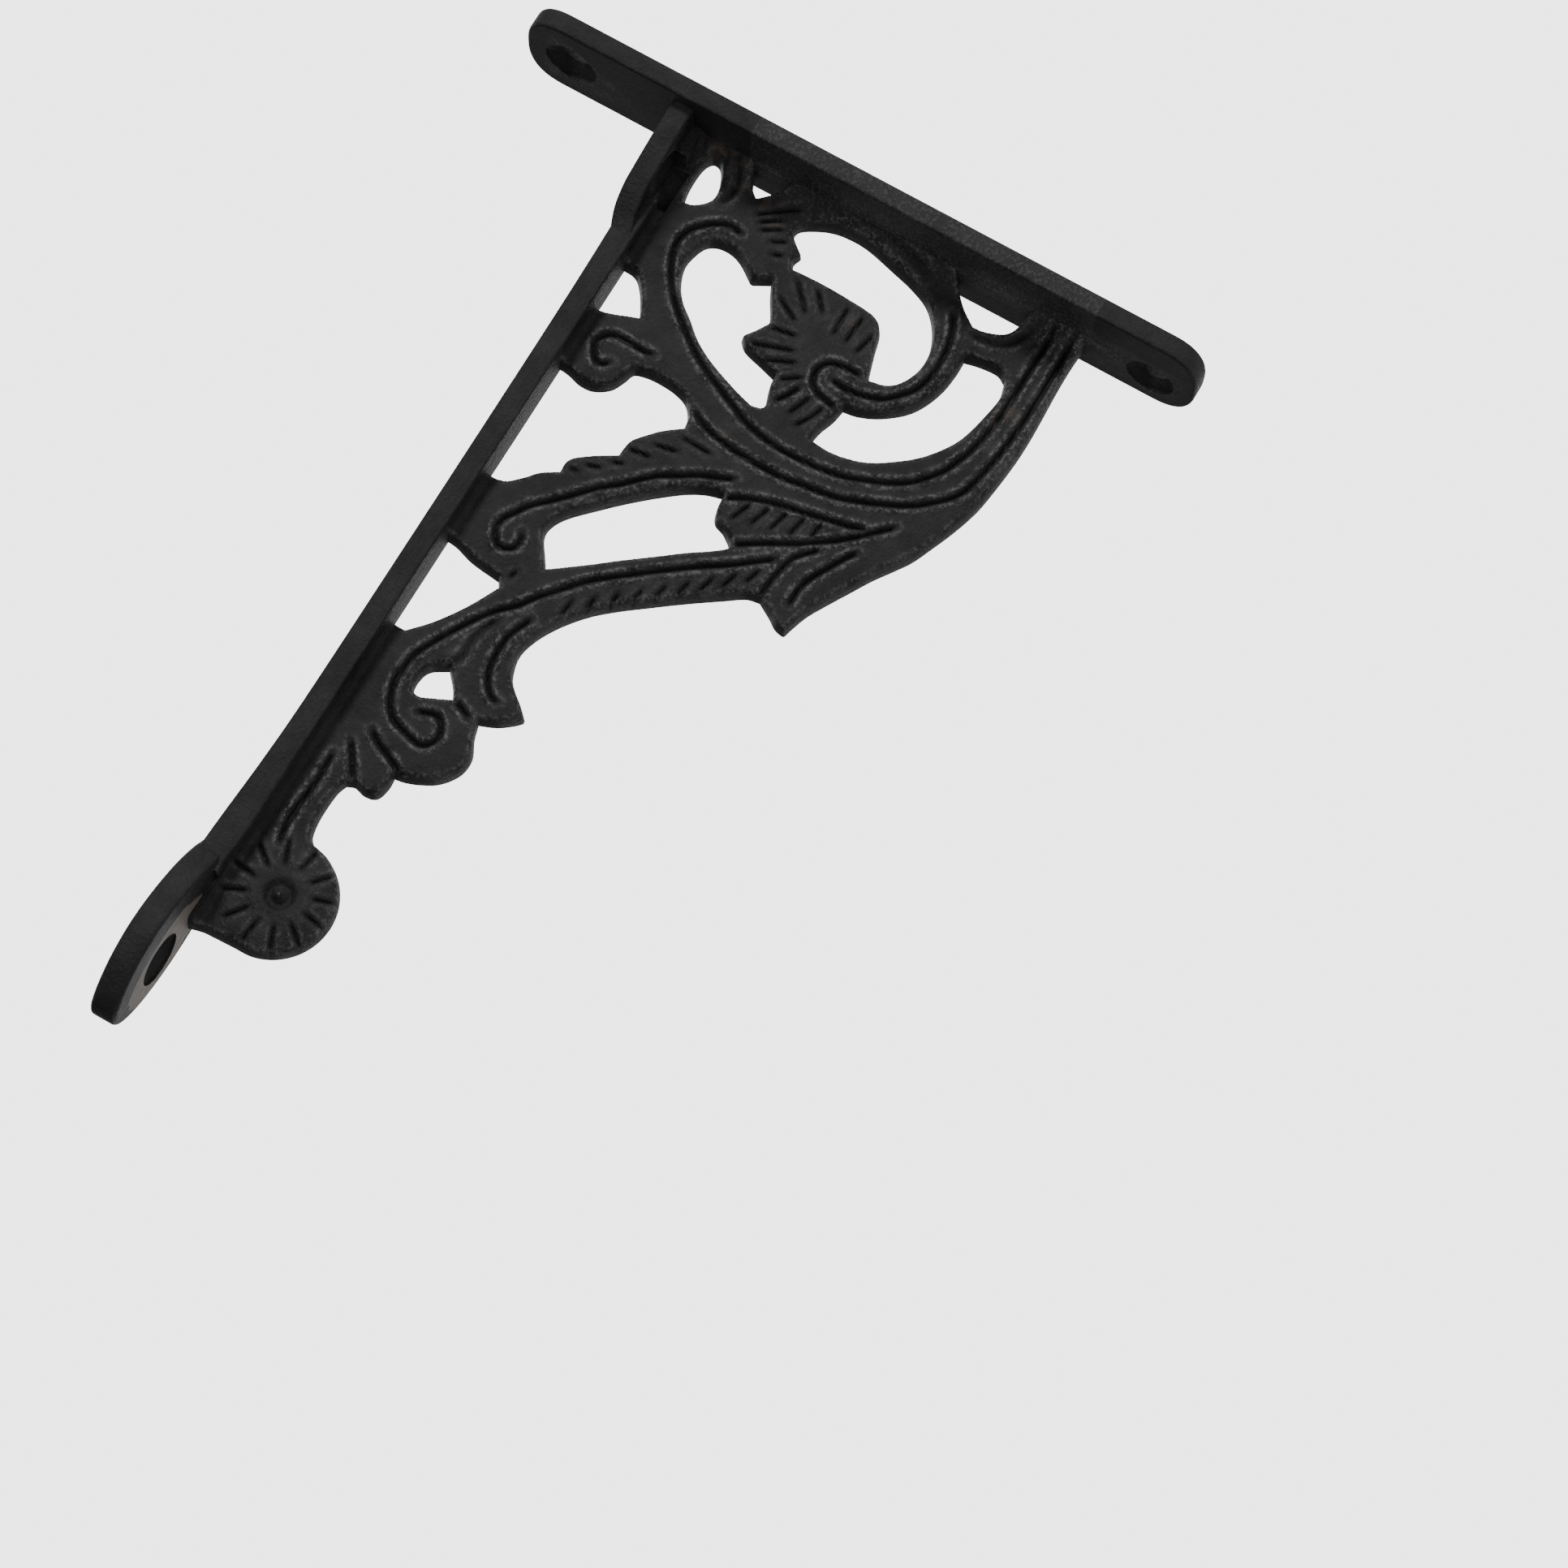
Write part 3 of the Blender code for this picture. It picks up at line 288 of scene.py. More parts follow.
# Screw holes: centre on the face, way in, mouth radius, start before the face, length.

SCREW_SIDES = 48
SCREW_SINK = 0.6
SCREWS = {
    "upper_wall": ((-4.0, 10.1, 21.3), (1, 0, 0), 5.3, 1.0, 7.0),
    "lower_wall": ((-4.0, 7.8, -98.2), (1, 0, 0), 4.8, 1.0, 7.0),
    "tab_shelf": ((-15.0, 9.6, -4.3), (0, 0, 1), 5.4, 3.2, 8.0),
    "lug_shelf": ((-184.4, 8.2, -5.0), (0, 0, 1), 5.1, 1.0, 8.0),
}

# Stage, in metres.

CAMERA_PLACE = (-0.3574, -0.7874, -0.19735)
CAMERA_AIM = (-0.1009, 0.01013, -0.0791)
LIGHTS = {
    "key": ((0.75, -1.35, 0.75), 0.4, 60.0),
    "fill": ((-0.3, -1.7, -0.2), 0.8, 11.0),
    "back": ((0.2, 1.5, 0.7), 1.2, 10.0),
}
SKY = (0.85, 3.6)
SKY_TURN = (0.62, 0.84)
FLOOR_SIDES = 96


def smooth_line(points, step):
    """An open curve through the points: from b to c a cubic with end slopes (c - a) / 2 and (d - b) / 2."""
    points = np.asarray(points, float)
    if len(points) == 2:
        count = max(2, math.ceil(np.linalg.norm(points[1] - points[0]) / step) + 1)
        return points[0] + np.linspace(0, 1, count)[:, None] * (points[1] - points[0])
    ends = np.vstack([2 * points[0] - points[1], points, 2 * points[-1] - points[-2]])
    parts = []
    for a, b, c, d in zip(ends[:-3], ends[1:-2], ends[2:-1], ends[3:]):
        count = max(2, math.ceil(np.linalg.norm(c - b) / step) + 1)
        t = np.linspace(0, 1, count)[:-1, None]
        parts.append(
            0.5 * (2 * b + (c - a) * t + (2 * a - 5 * b + 4 * c - d) * t**2 + (3 * b - a - 3 * c + d) * t**3)
        )
    return np.vstack(parts + [points[-1:]])


def smooth_oval(points, step):
    """A closed curve through the points with no corner, as smooth_line runs past both ends of the list."""
    around = points[-2:] + points + points[:3]
    line = smooth_line(around, step)
    first = np.abs(line - points[0]).sum(1).argmin()
    last = len(line) - 1 - np.abs(line[::-1] - points[0]).sum(1).argmin()
    return line[first:last]


def smooth_ring(points, step):
    """A closed curve through the points, smooth except where a point is marked as a corner."""
    corners = [i for i, point in enumerate(points) if len(point) == 3]
    plain = [point[:2] for point in points]
    if not corners:
        raise ValueError("an outline needs a corner to start at")
    turned = plain[corners[0]:] + plain[: corners[0]] + [plain[corners[0]]]
    stops = [c - corners[0] for c in corners] + [len(plain)]
    return np.vstack([smooth_line(turned[a: b + 1], step)[:-1] for a, b in zip(stops[:-1], stops[1:])])


def arc(centre, radius, first, last, step):
    """Points centre + radius (cos t, sin t) for t from first to last, in degrees."""
    count = max(3, math.ceil(abs(math.radians(last - first)) * radius / step) + 1)
    angles = np.radians(np.linspace(first, last, count))
    return np.asarray(centre) + radius * np.column_stack([np.cos(angles), np.sin(angles)])


def web_loops(step):
    """The web's outer edge, with the rosette as an arc, and the edge of each opening."""
    rosette = [tuple(p) for p in arc(ROSETTE_CENTRE, ROSETTE_RADIUS, *ROSETTE_ARC, 4.0)]
    rosette[0] = (*rosette[0], CORNER)
    outer = smooth_ring(OUTLINE_LOWER + rosette + OUTLINE_UPPER, step)
    return [outer] + [smooth_ring(points, step) for points in OPENINGS.values()]


def carved_lines(step):
    """Every carved line, row of cuts and ray as (depth, half width, hollow's share, centre line)."""
    lines = [(*size, smooth_line(points, step)) for size, points in GROOVES]
    for count, start, end, first, last in HATCHES:
        for t in np.linspace(0, 1, count):
            root = np.asarray(start) * (1 - t) + np.asarray(end) * t
            stroke = np.asarray(first) * (1 - t) + np.asarray(last) * t
            lines.append((*FINE, smooth_line([root, root + stroke], step)))
    lines += [(*FINE, smooth_line(points, step)) for points in FEATHER_CUTS]
    for k in range(ROSETTE_RAYS):
        angle = math.radians(ROSETTE_FIRST_RAY + k * 360 / ROSETTE_RAYS)
        ray = np.array([math.cos(angle), math.sin(angle)])
        ends = [np.asarray(BOSS_CENTRE) + reach * ray for reach in ROSETTE_RAY_SPAN]
        lines.append((*RAY, smooth_line(ends, step)))
    return lines


def gap_to_line(points, line):
    """Distance from each point to the line, and the distance of the foot from the line's nearer end."""
    a, run = line[:-1], np.diff(line, axis=0)
    size = np.hypot(*run.T)
    t = np.clip(((points[:, None] - a) * run).sum(2) / size**2, 0, 1)
    off = points[:, None] - a - t[..., None] * run
    gap = np.hypot(off[..., 0], off[..., 1])
    best = gap.argmin(1)
    rows = np.arange(len(points))
    along = np.concatenate([[0], np.cumsum(size)[:-1]])[best] + t[rows, best] * size[best]
    return gap[rows, best], np.minimum(along, size.sum() - along)


def signed_edge_distance(x, z, loops, reach):
    """Distance to the nearest loop on the grid x by z, up to reach: positive in the metal, by even-odd."""
    gap = np.full((len(x), len(z)), reach)
    odd = np.zeros((len(x), len(z)), bool)
    for loop in loops:
        around = np.vstack([loop, loop[:1]])
        for first in range(0, len(loop), SIDES_AT_ONCE):
            piece = around[first: first + SIDES_AT_ONCE + 1]
            low, high = piece.min(0), piece.max(0)
            i = slice(*np.searchsorted(x, [low[0] - reach, high[0] + reach]))
            j = slice(*np.searchsorted(z, [low[1] - reach, high[1] + reach]))
            grid = np.stack(np.meshgrid(x[i], z[j], indexing="ij"), -1).reshape(-1, 2)
            if len(grid):
                near = gap_to_line(grid, piece)[0].reshape(gap[i, j].shape)
                gap[i, j] = np.minimum(gap[i, j], near)
            j = slice(*np.searchsorted(z, [low[1], high[1]]))
            (ax, az), (bx, bz) = piece[:-1].T, piece[1:].T
            level = z[j, None]
            crosses = (az > level) != (bz > level)
            rise = np.where(bz == az, 1, bz - az)
            where = ax + (level - az) * (bx - ax) / rise
            odd[:, j] ^= ((crosses & (x[:, None, None] < where)).sum(2) % 2).astype(bool)
    return np.where(odd, gap, -gap)


class EdgeMap:
    """The web's signed edge distance on a grid, and its bilinear reading anywhere."""

    def __init__(self, loops, step):
        low = np.vstack(loops).min(0) - 2 * step
        high = np.vstack(loops).max(0) + 2 * step
        self.step = step
        self.x = np.arange(low[0], high[0], step)
        self.z = np.arange(low[1], high[1], step)
        self.field = signed_edge_distance(self.x, self.z, loops, EDGE_REACH)

    def read(self, flat, table=None):
        """(1 - u)(1 - v) a + u (1 - v) b + (1 - u) v c + u v d, from the four grid values around a point."""
        table = self.field if table is None else table
        place = (flat - [self.x[0], self.z[0]]) / self.step
        i, j = np.clip(np.floor(place).astype(int), 0, np.array(table.shape) - 2).T
        u, v = np.clip(place - np.column_stack([i, j]), 0, 1).T
        return (table[i, j] * (1 - u) + table[i + 1, j] * u) * (1 - v) + (
            table[i, j + 1] * (1 - u) + table[i + 1, j + 1] * u) * v

    def outward(self, flat):
        """Unit normals of the edge, away from the metal."""
        tilt_x, tilt_z = np.gradient(self.field, self.step)
        out = -np.column_stack([self.read(flat, tilt_x), self.read(flat, tilt_z)])
        return out / np.maximum(np.hypot(*out.T), 1e-6)[:, None]


def enclosed(points, starts, ends):
    """Which points have an odd number of the sides to their right."""
    (ax, az), (bx, bz) = starts.T, ends.T
    slope = (bx - ax) / np.where(bz == az, 1, bz - az)
    found = []
    for part in np.array_split(points, max(1, len(points) // POINTS_AT_ONCE)):
        level = part[:, 1:]
        crosses = (az > level) != (bz > level)
        found.append((crosses & (part[:, :1] < ax + (level - az) * slope)).sum(1) % 2 == 1)
    return np.concatenate(found)


def contour_mesh(x, z, field):
    """Marching squares: the part of the grid where field > 0, as flat points and triangles.

    Each cell's polygon takes its inside corners and the zero crossings of its sides, in order round the cell.
    """
    keep = field > 0
    grid = np.stack(np.meshgrid(x, z, indexing="ij"), -1)
    along_x = keep[1:] != keep[:-1]
    along_z = keep[:, 1:] != keep[:, :-1]
    fall = np.where(along_x, field[:-1] - field[1:], 1)
    share = np.where(along_x, field[:-1] / fall, 0)[..., None]
    cross_x = grid[:-1] + share * (grid[1:] - grid[:-1])
    fall = np.where(along_z, field[:, :-1] - field[:, 1:], 1)
    share = np.where(along_z, field[:, :-1] / fall, 0)[..., None]
    cross_z = grid[:, :-1] + share * (grid[:, 1:] - grid[:, :-1])
    ids, total = [], 0
    for mask in (keep, along_x, along_z):
        numbers = np.full(mask.shape, -1)
        numbers[mask] = total + np.arange(mask.sum())
        total += mask.sum()
        ids.append(numbers)
    points = np.vstack([grid[keep], cross_x[along_x], cross_z[along_z]])
    corner, side_x, side_z = ids
    ring = np.stack([
        corner[:-1, :-1], side_x[:, :-1], corner[1:, :-1], side_z[1:], corner[1:, 1:], side_x[:, 1:],
        corner[:-1, 1:], side_z[:-1],
    ], -1).reshape(-1, 8)
    kinds = (ring[:, ::2] >= 0) @ np.array([1, 2, 4, 8])
    triangles = []
    for kind in range(1, 16):
        cells = ring[kinds == kind]
        if len(cells) == 0:
            continue
        used = cells[:, cells[0] >= 0]
        if kind == 15:
            triangles += [used[:, [0, 1, 2]], used[:, [0, 2, 3]]]
            continue
        triangles += [used[:, [0, k, k + 1]] for k in range(1, used.shape[1] - 1)]
    return points, np.vstack(triangles), int(keep.sum())


def rim_of(triangles):
    """The directed sides that only one triangle has."""
    sides = np.concatenate([triangles[:, [0, 1]], triangles[:, [1, 2]], triangles[:, [2, 0]]])
    count = triangles.max() + 1
    key = sides[:, 0] * count + sides[:, 1]
    back = sides[:, 1] * count + sides[:, 0]
    return sides[~np.isin(key, back)]


def value_noise(points, size, seed):
    """Smooth noise from -1 to 1: random values on a lattice of the given size, eased between its corners."""
    lattice = np.random.default_rng(seed).uniform(-1, 1, (64, 64))
    place = np.asarray(points) / size
    cell = np.floor(place).astype(int)
    t = place - cell
    t = t * t * (3 - 2 * t)
    i, j = cell.T % 64
    a, b = lattice[i, j], lattice[(i + 1) % 64, j]
    c, d = lattice[i, (j + 1) % 64], lattice[(i + 1) % 64, (j + 1) % 64]
    return (a * (1 - t[:, 0]) + b * t[:, 0]) * (1 - t[:, 1]) + (c * (1 - t[:, 0]) + d * t[:, 0]) * t[:, 1]


def eased(value):
    """0 below 0, 1 above 1, and 3 v^2 - 2 v^3 between."""
    value = np.clip(value, 0, 1)
    return value * value * (3 - 2 * value)


def bell(value, width):
    """exp(-(value / width)^2)."""
    return np.exp(-((value / width) ** 2))


def climb(value, start, reach, rise, power):
    """rise * t^power, where t goes from 0 at start to 1 at start + reach."""
    return rise * np.clip((value - start) / reach, 0, 1) ** power


class CastingSizes(bpy.types.PropertyGroup):
    plate_width: bpy.props.FloatProperty(
        name="Plate width", description="Width of the wall plate", default=0.0203, unit="LENGTH")
    plate_thickness: bpy.props.FloatProperty(
        name="Plate thickness", description="Thickness of the wall plate", default=0.004, unit="LENGTH")
    plate_top: bpy.props.FloatProperty(
        name="Plate top", description="Height of the plate's upper end over the seat", default=0.0305,
        unit="LENGTH")
    plate_bottom: bpy.props.FloatProperty(
        name="Plate bottom", description="Depth of the plate's lower end under the seat", default=0.107,
        unit="LENGTH")
    web_back: bpy.props.FloatProperty(
        name="Web back", description="Depth of the web's plain face over the back plane", default=0.0028,
        unit="LENGTH")
    web_face: bpy.props.FloatProperty(
        name="Web face", description="Depth of the carved face over the back plane", default=0.007,
        unit="LENGTH")
    web_draft: bpy.props.FloatProperty(
        name="Draft", description="How much wider the web is at its back than at its face", default=0.0003,
        unit="LENGTH")
    edge_round: bpy.props.FloatProperty(
        name="Edge rounding", description="Radius of the carved face's outer edge", default=0.0008,
        unit="LENGTH")
    relief: bpy.props.FloatProperty(
        name="Relief", description="How deep the carving is against its drawing", default=1.0,
        subtype="FACTOR")
    grid: bpy.props.FloatProperty(
        name="Grid", description="Spacing of the carved face's points", default=0.00029, unit="LENGTH")
    screw_hole: bpy.props.FloatProperty(
        name="Screw hole", description="Radius of the four screw holes", default=0.0032, unit="LENGTH")


class IronFinish(bpy.types.PropertyGroup):
    # dark and light end the iron's tone: mottle moves between them, painted shade pulls to dark, the fillet's
    # painted highlight to light.
    dark: bpy.props.FloatVectorProperty(
        name="Iron in the hollows", description="Colour of the black iron", subtype="COLOR", size=4,
        default=(0.0028, 0.0028, 0.003, 1))
    light: bpy.props.FloatVectorProperty(
        name="Iron on the faces", description="Colour of the iron where it is handled", subtype="COLOR",
        size=4, default=(0.0085, 0.0085, 0.009, 1))
    # Colour laid on ridges, edges and the nub: partly real wear, partly painted highlight.
    wear_and_highlight: bpy.props.FloatVectorProperty(
        name="Worn edge and highlight", description="Colour of the edges and ridges", subtype="COLOR", size=4,
        default=(0.038, 0.037, 0.036, 1))
    rust: bpy.props.FloatVectorProperty(
        name="Rust", description="Colour of the faint rust", subtype="COLOR", size=4,
        default=(0.024, 0.017, 0.012, 1))
    ground: bpy.props.FloatVectorProperty(
        name="Ground face", description="Colour of the faces ground flat", subtype="COLOR", size=4,
        default=(0.05, 0.042, 0.036, 1))


class StudioSettings(bpy.types.PropertyGroup):
    floor_drop: bpy.props.FloatProperty(
        name="Floor drop", description="How far the floor lies under the seat", default=0.62, unit="LENGTH")
    floor_radius: bpy.props.FloatProperty(
        name="Floor radius", description="Radius of the floor's disc", default=1.6, unit="LENGTH")
    lens: bpy.props.FloatProperty(
        name="Lens", description="Focal length in millimetres on a 36 mm sensor", default=111.8)
    turn: bpy.props.FloatProperty(
        name="Camera turn", description="Turn of the camera about its line of sight",
        default=math.radians(-61.11), subtype="ANGLE")


def carved_depth(points, edge, sizes):
    """Depth of the carved face over the back plane, in millimetres, how much it is crest, and its painted
    shade.

    depth = face - edge rounding - deepest cut + bead beside it + boss and dish + fillets + unevenness.
    A cut takes depth * ((1 - s) bell(gap, width) + s bell(gap, 2.8 width)) off, with s its hollow's share.
    It fades at its ends and has a low bead outside each flank. The fillets rise to the plate and the rail.
    """
    x, z = points.T
    face = sizes.web_face / MM
    rounding = sizes.edge_round / MM
    cut = np.zeros(len(points))
    bead = np.zeros(len(points))
    for depth, width, share, line in carved_lines(SAMPLE):
        low, high = line.min(0) - LINE_REACH * width, line.max(0) + LINE_REACH * width
        near = np.flatnonzero(((points > low) & (points < high)).all(1))
        if len(near) == 0:
            continue
        gap, end = gap_to_line(points[near], line)
        fade = LINE_END_DEPTH + (1 - LINE_END_DEPTH) * eased(end / LINE_END_LENGTH)
        valley = (1 - share) * bell(gap, width) + share * bell(gap, HOLLOW_SPREAD * width)
        cut[near] = np.maximum(cut[near], depth * fade * valley)
        ridge = bell(gap - BEAD_PLACE * width, BEAD_WIDTH * width)
        bead[near] = np.maximum(bead[near], BEAD_SHARE * share * depth * fade * ridge)
    reach = np.hypot(x - BOSS_CENTRE[0], z - BOSS_CENTRE[1]) / BOSS_RADIUS
    boss = NUB_RISE * bell(reach, NUB_WIDTH) - PIT_DEPTH * np.exp(-((reach / PIT_WIDTH) ** PIT_POWER))
    rosette = np.hypot(x - ROSETTE_CENTRE[0], z - ROSETTE_CENTRE[1]) / ROSETTE_RADIUS
    rim = eased((rosette - 0.7) / 0.3) * eased((1.35 - rosette) / 0.35)
    dish = DISH_RISE * bell(reach, DISH_WIDTH) - RIM_DROP * rim
    shoulder = np.clip(1 - edge / rounding, 0, 1)
    drop = rounding * (1 - np.sqrt(1 - shoulder**2)) + EDGE_SLUMP * np.exp(-edge)
    fillets = climb(x, *PLATE_FILLET) + climb(z, *RAIL_FILLET)
    uneven = sum(height * value_noise(points, size, seed) for height, size, seed in UNEVENNESS)
    relief = sizes.relief * (bead * eased(edge / BEAD_FREE_OF_EDGE) - cut + boss + dish)
    depth = face - drop + relief + fillets + uneven
    # crest is pale on beads, the web's edges and the nub: partly wear, partly painted highlight.
    crest = np.clip(CREST_OF_BEAD * bead - CREST_LOST_TO_CUT * cut, 0, 1)
    crest += EDGE_WEAR_AND_HIGHLIGHT * bell(edge - EDGE_WEAR_AND_HIGHLIGHT_PLACE, EDGE_WEAR_AND_HIGHLIGHT_WIDTH) + bell(reach, NUB_HIGHLIGHT_WIDTH)
    # Painted shade: the cuts, by their depth, and a ring round the boss's nub are darkened.
    hollow_shade = cut / CUT_SHADE_DEPTH + bell(reach - PIT_SHADE_PLACE, PIT_SHADE_WIDTH)
    return depth, np.clip(crest, 0, 1), np.clip(hollow_shade, 0, 1)


def to_world(x, depth, z, sizes):
    """Millimetres along the arm, over the back plane and up, to metres."""
    return np.stack([x * MM, sizes.plate_width / 2 - np.asarray(depth) * MM, z * MM], -1)


def web_shell(sizes, edges):
    """The pierced web: carved face by marching squares, walls as rings dropped from its rim, and a flat back.

    Ring k stands off the rim by out_k along the edge's normal, at depth_k, from the face to the back's edge.
    """
    flat, triangles, inner = contour_mesh(edges.x, edges.z, edges.field)
    edge = np.maximum(edges.read(flat), 0)
    edge[inner:] = 0
    depth = carved_depth(flat, edge, sizes)[0]
    outward = edges.outward(flat)
    rim = rim_of(triangles)
    around = np.unique(rim)
    ring_of = np.full(len(flat), -1)
    ring_of[around] = np.arange(len(around))
    draft = sizes.web_draft / MM
    back = sizes.web_back / MM
    top = depth[around]
    out, under = UPPER_RING
    rings = [
        (out, top - under),
        (draft, np.full(len(around), back + BACK_CHAMFER)),
        (draft - BACK_CHAMFER, np.full(len(around), back)),
    ]
    points = [to_world(flat[:, 0], depth, flat[:, 1], sizes)]
    faces = [triangles]
    a, b = ring_of[rim].T
    upper = around
    base = len(flat)
    for out, level in rings:
        place = flat[around] + out * outward[around]
        points.append(to_world(place[:, 0], level, place[:, 1], sizes))
        lower = base + np.arange(len(around))
        faces.append(np.column_stack([upper[b], upper[a], lower[a]]))
        faces.append(np.column_stack([upper[b], lower[a], lower[b]]))
        upper = lower
        base += len(around)
    found = delaunay_2d_cdt([Vector(p) for p in flat[around]], ring_of[rim].tolist(), [], 0, 1e-7)
    origin = np.array([first[0] if first else -1 for first in found[3]])
    rear = origin[np.array(found[2])]
    rear = rear[(rear >= 0).all(1)]
    rear = rear[enclosed(flat[around][rear].mean(1), flat[rim[:, 0]], flat[rim[:, 1]])]
    p, q, r = flat[around][rear].transpose(1, 0, 2)
    area = (q - p)[:, 0] * (r - p)[:, 1] - (q - p)[:, 1] * (r - p)[:, 0]
    rear[area > 0] = rear[area > 0][:, ::-1]
    faces.append(rear + base - len(around))
    return np.vstack(points), np.vstack(faces)


def make_mesh(name, points, faces):
    """A mesh object from arrays."""
    mesh = bpy.data.meshes.new(name)
    mesh.from_pydata(points.tolist(), [], faces if isinstance(faces, list) else faces.tolist())
    mesh.validate()
    mesh.update()
    piece = bpy.data.objects.new(name, mesh)
    bpy.context.scene.collection.objects.link(piece)
    return piece


def mark_wear_highlight_and_shade(mesh, edges, sizes):
    """Writes crest and painted shade for each point: on the web's face from the carving, else as it stands
    out.

    A point stands out by (p - mean of its neighbours) . normal, over the mean distance to them.
    """
    count = len(mesh.vertices)
    place = np.empty(count * 3, np.float32)
    mesh.vertices.foreach_get("co", place)
    place = place.reshape(-1, 3) / MM
    normal = np.empty(count * 3, np.float32)
    mesh.vertex_normals.foreach_get("vector", normal)
    normal = normal.reshape(-1, 3)
    ends = np.empty(len(mesh.edges) * 2, np.int32)
    mesh.edges.foreach_get("vertices", ends)
    a, b = np.vstack([ends.reshape(-1, 2), ends.reshape(-1, 2)[:, ::-1]]).T
    size = np.maximum(np.linalg.norm(place[a] - place[b], axis=1), 1e-4)
    weight = 1 / size
    total = np.bincount(a, weight, count)
    middle = np.column_stack([np.bincount(a, weight * place[b, k], count) for k in range(3)]) / total[:, None]
    reach = np.bincount(a, minlength=count) / total
    proud = ((place - middle) * normal).sum(1) / reach
    depth = sizes.plate_width / MM / 2 - place[:, 1]
    flat = place[:, [0, 2]]
    edge = edges.read(flat)
    face_depth, crest, hollow_shade = carved_depth(flat, np.maximum(edge, 0), sizes)
    on_face = (np.abs(depth - face_depth) < FACE_TOLERANCE) & (edge > -0.05)
    # Off the carved face, points that stand out get crest (wear and painted highlight); points that sink in
    # get painted shade.
    crest = np.where(on_face, crest, np.clip(PROUD_GAIN * proud - PROUD_START, 0, 1))
    hollow_shade = np.where(on_face, hollow_shade, np.clip(-PROUD_GAIN * proud - SUNK_SHADE_START, 0, 1))
    for label, values in (("crest", crest), ("hollow_shade", hollow_shade)):
        layer = mesh.attributes.new(label, "FLOAT", "POINT")
        layer.data.foreach_set("value", np.asarray(values, np.float32))


def side_normals(loop):
    """Unit normals to the right of the way round."""
    run = np.roll(loop, -1, axis=0) - np.roll(loop, 1, axis=0)
    return np.column_stack([run[:, 1], -run[:, 0]]) / np.maximum(np.hypot(*run.T), 1e-9)[:, None]


def counter_clockwise(loop):
    """The loop, turned round if its signed area is negative."""
    x, z = loop.T
    return loop if (x * np.roll(z, -1) - z * np.roll(x, -1)).sum() > 0 else loop[::-1]


def lofted(name, points, count):
    """A closed mesh through rings of count points each, with one flat face at either end."""
    last = len(points) // count - 1
    i = np.arange(count)
    j = (i + 1) % count
    faces = []
    for k in range(last):
        quads = [k * count + i, k * count + j, (k + 1) * count + j, (k + 1) * count + i]
        faces += np.column_stack(quads).tolist()
    faces += [i[::-1].tolist(), (last * count + i).tolist()]
    return outward_mesh(name, points, faces)


def slab(name, outline, low, high, rounding, place):
    """The outline carried from low to high, drawn in by r (1 - sin t) near both faces to round the edges."""
    outline = counter_clockwise(np.asarray(outline, float))
    normal = side_normals(outline)
    turn = np.linspace(0, math.pi / 2, ROUND_STEPS)
    side = rounding * (1 - np.sin(turn))
    rise = rounding * (1 - np.cos(turn))
    cap = [rounding + CAP_INSET]
    inset = np.concatenate([cap, side, side[::-1], cap])
    level = np.concatenate([[low], low + rise, high - rise[::-1], [high]])
    flat = outline - inset[:, None, None] * normal
    points = place(flat[..., 0].ravel(), flat[..., 1].ravel(), np.repeat(level, len(outline)))
    return lofted(name, points, len(outline))


def bar(name, stations, rear, front, under, top, rounding, sizes):
    """A bar along the arm: at each station x, a round-cornered rectangle, rear to front and under to top."""
    turn = np.linspace(0, math.pi / 2, ROUND_STEPS)
    corner = np.concatenate([turn + k * math.pi / 2 for k in range(4)])
    reach_d = np.cos(corner) * rounding
    reach_z = np.sin(corner) * rounding
    side_d = np.repeat([1, -1, -1, 1], ROUND_STEPS)
    side_z = np.repeat([1, 1, -1, -1], ROUND_STEPS)
    middle_d, half_d = (front + rear) / 2, (front - rear) / 2 - rounding
    middle_z, half_z = (top + under) / 2, (top - under) / 2 - rounding
    depth = middle_d[:, None] + half_d[:, None] * side_d + reach_d
    height = middle_z[:, None] + half_z[:, None] * side_z + reach_z
    points = to_world(np.repeat(stations, len(corner)), depth.ravel(), height.ravel(), sizes)
    return lofted(name, points, len(corner))


def outward_mesh(name, points, faces):
    """A closed mesh with its faces turned out, by the sign of its volume."""
    a, b, c = points[[f[0] for f in faces]], points[[f[1] for f in faces]], points[[f[2] for f in faces]]
    if np.einsum("ij,ij->i", a - points.mean(0), np.cross(b - a, c - a)).sum() < 0:
        faces = [face[::-1] for face in faces]
    return make_mesh(name, points, faces)


def screw_cutter(name, centre, axis, mouth, before, length, shank):
    """A countersunk hole: radius mouth until just past the face, a 45 degree cone, then the shank."""
    around = np.linspace(0, 2 * math.pi, SCREW_SIDES, endpoint=False)
    along = np.array([-before, SCREW_SINK, SCREW_SINK + mouth - shank, length])
    radius = np.array([mouth, mouth, shank, shank])
    axis = np.asarray(axis, float)
    other = np.array([0.0, 1.0, 0.0])
    third = np.cross(axis, other)
    rim = np.cos(around)[:, None] * other + np.sin(around)[:, None] * third
    points = np.asarray(centre) + along[:, None, None] * axis + radius[:, None, None] * rim
    return lofted(name, points.reshape(-1, 3) * MM, SCREW_SIDES)


def joined(target, others, operation):
    """Applies one exact Boolean per other object to the target and removes the others."""
    for other in others:
        modifier = target.modifiers.new(other.name, "BOOLEAN")
        modifier.operation = operation
        modifier.solver = "EXACT"
        modifier.object = other
    graph = bpy.context.evaluated_depsgraph_get()
    mesh = bpy.data.meshes.new_from_object(target.evaluated_get(graph))
    target.modifiers.clear()
    target.data = mesh
    for other in others:
        bpy.data.objects.remove(other)


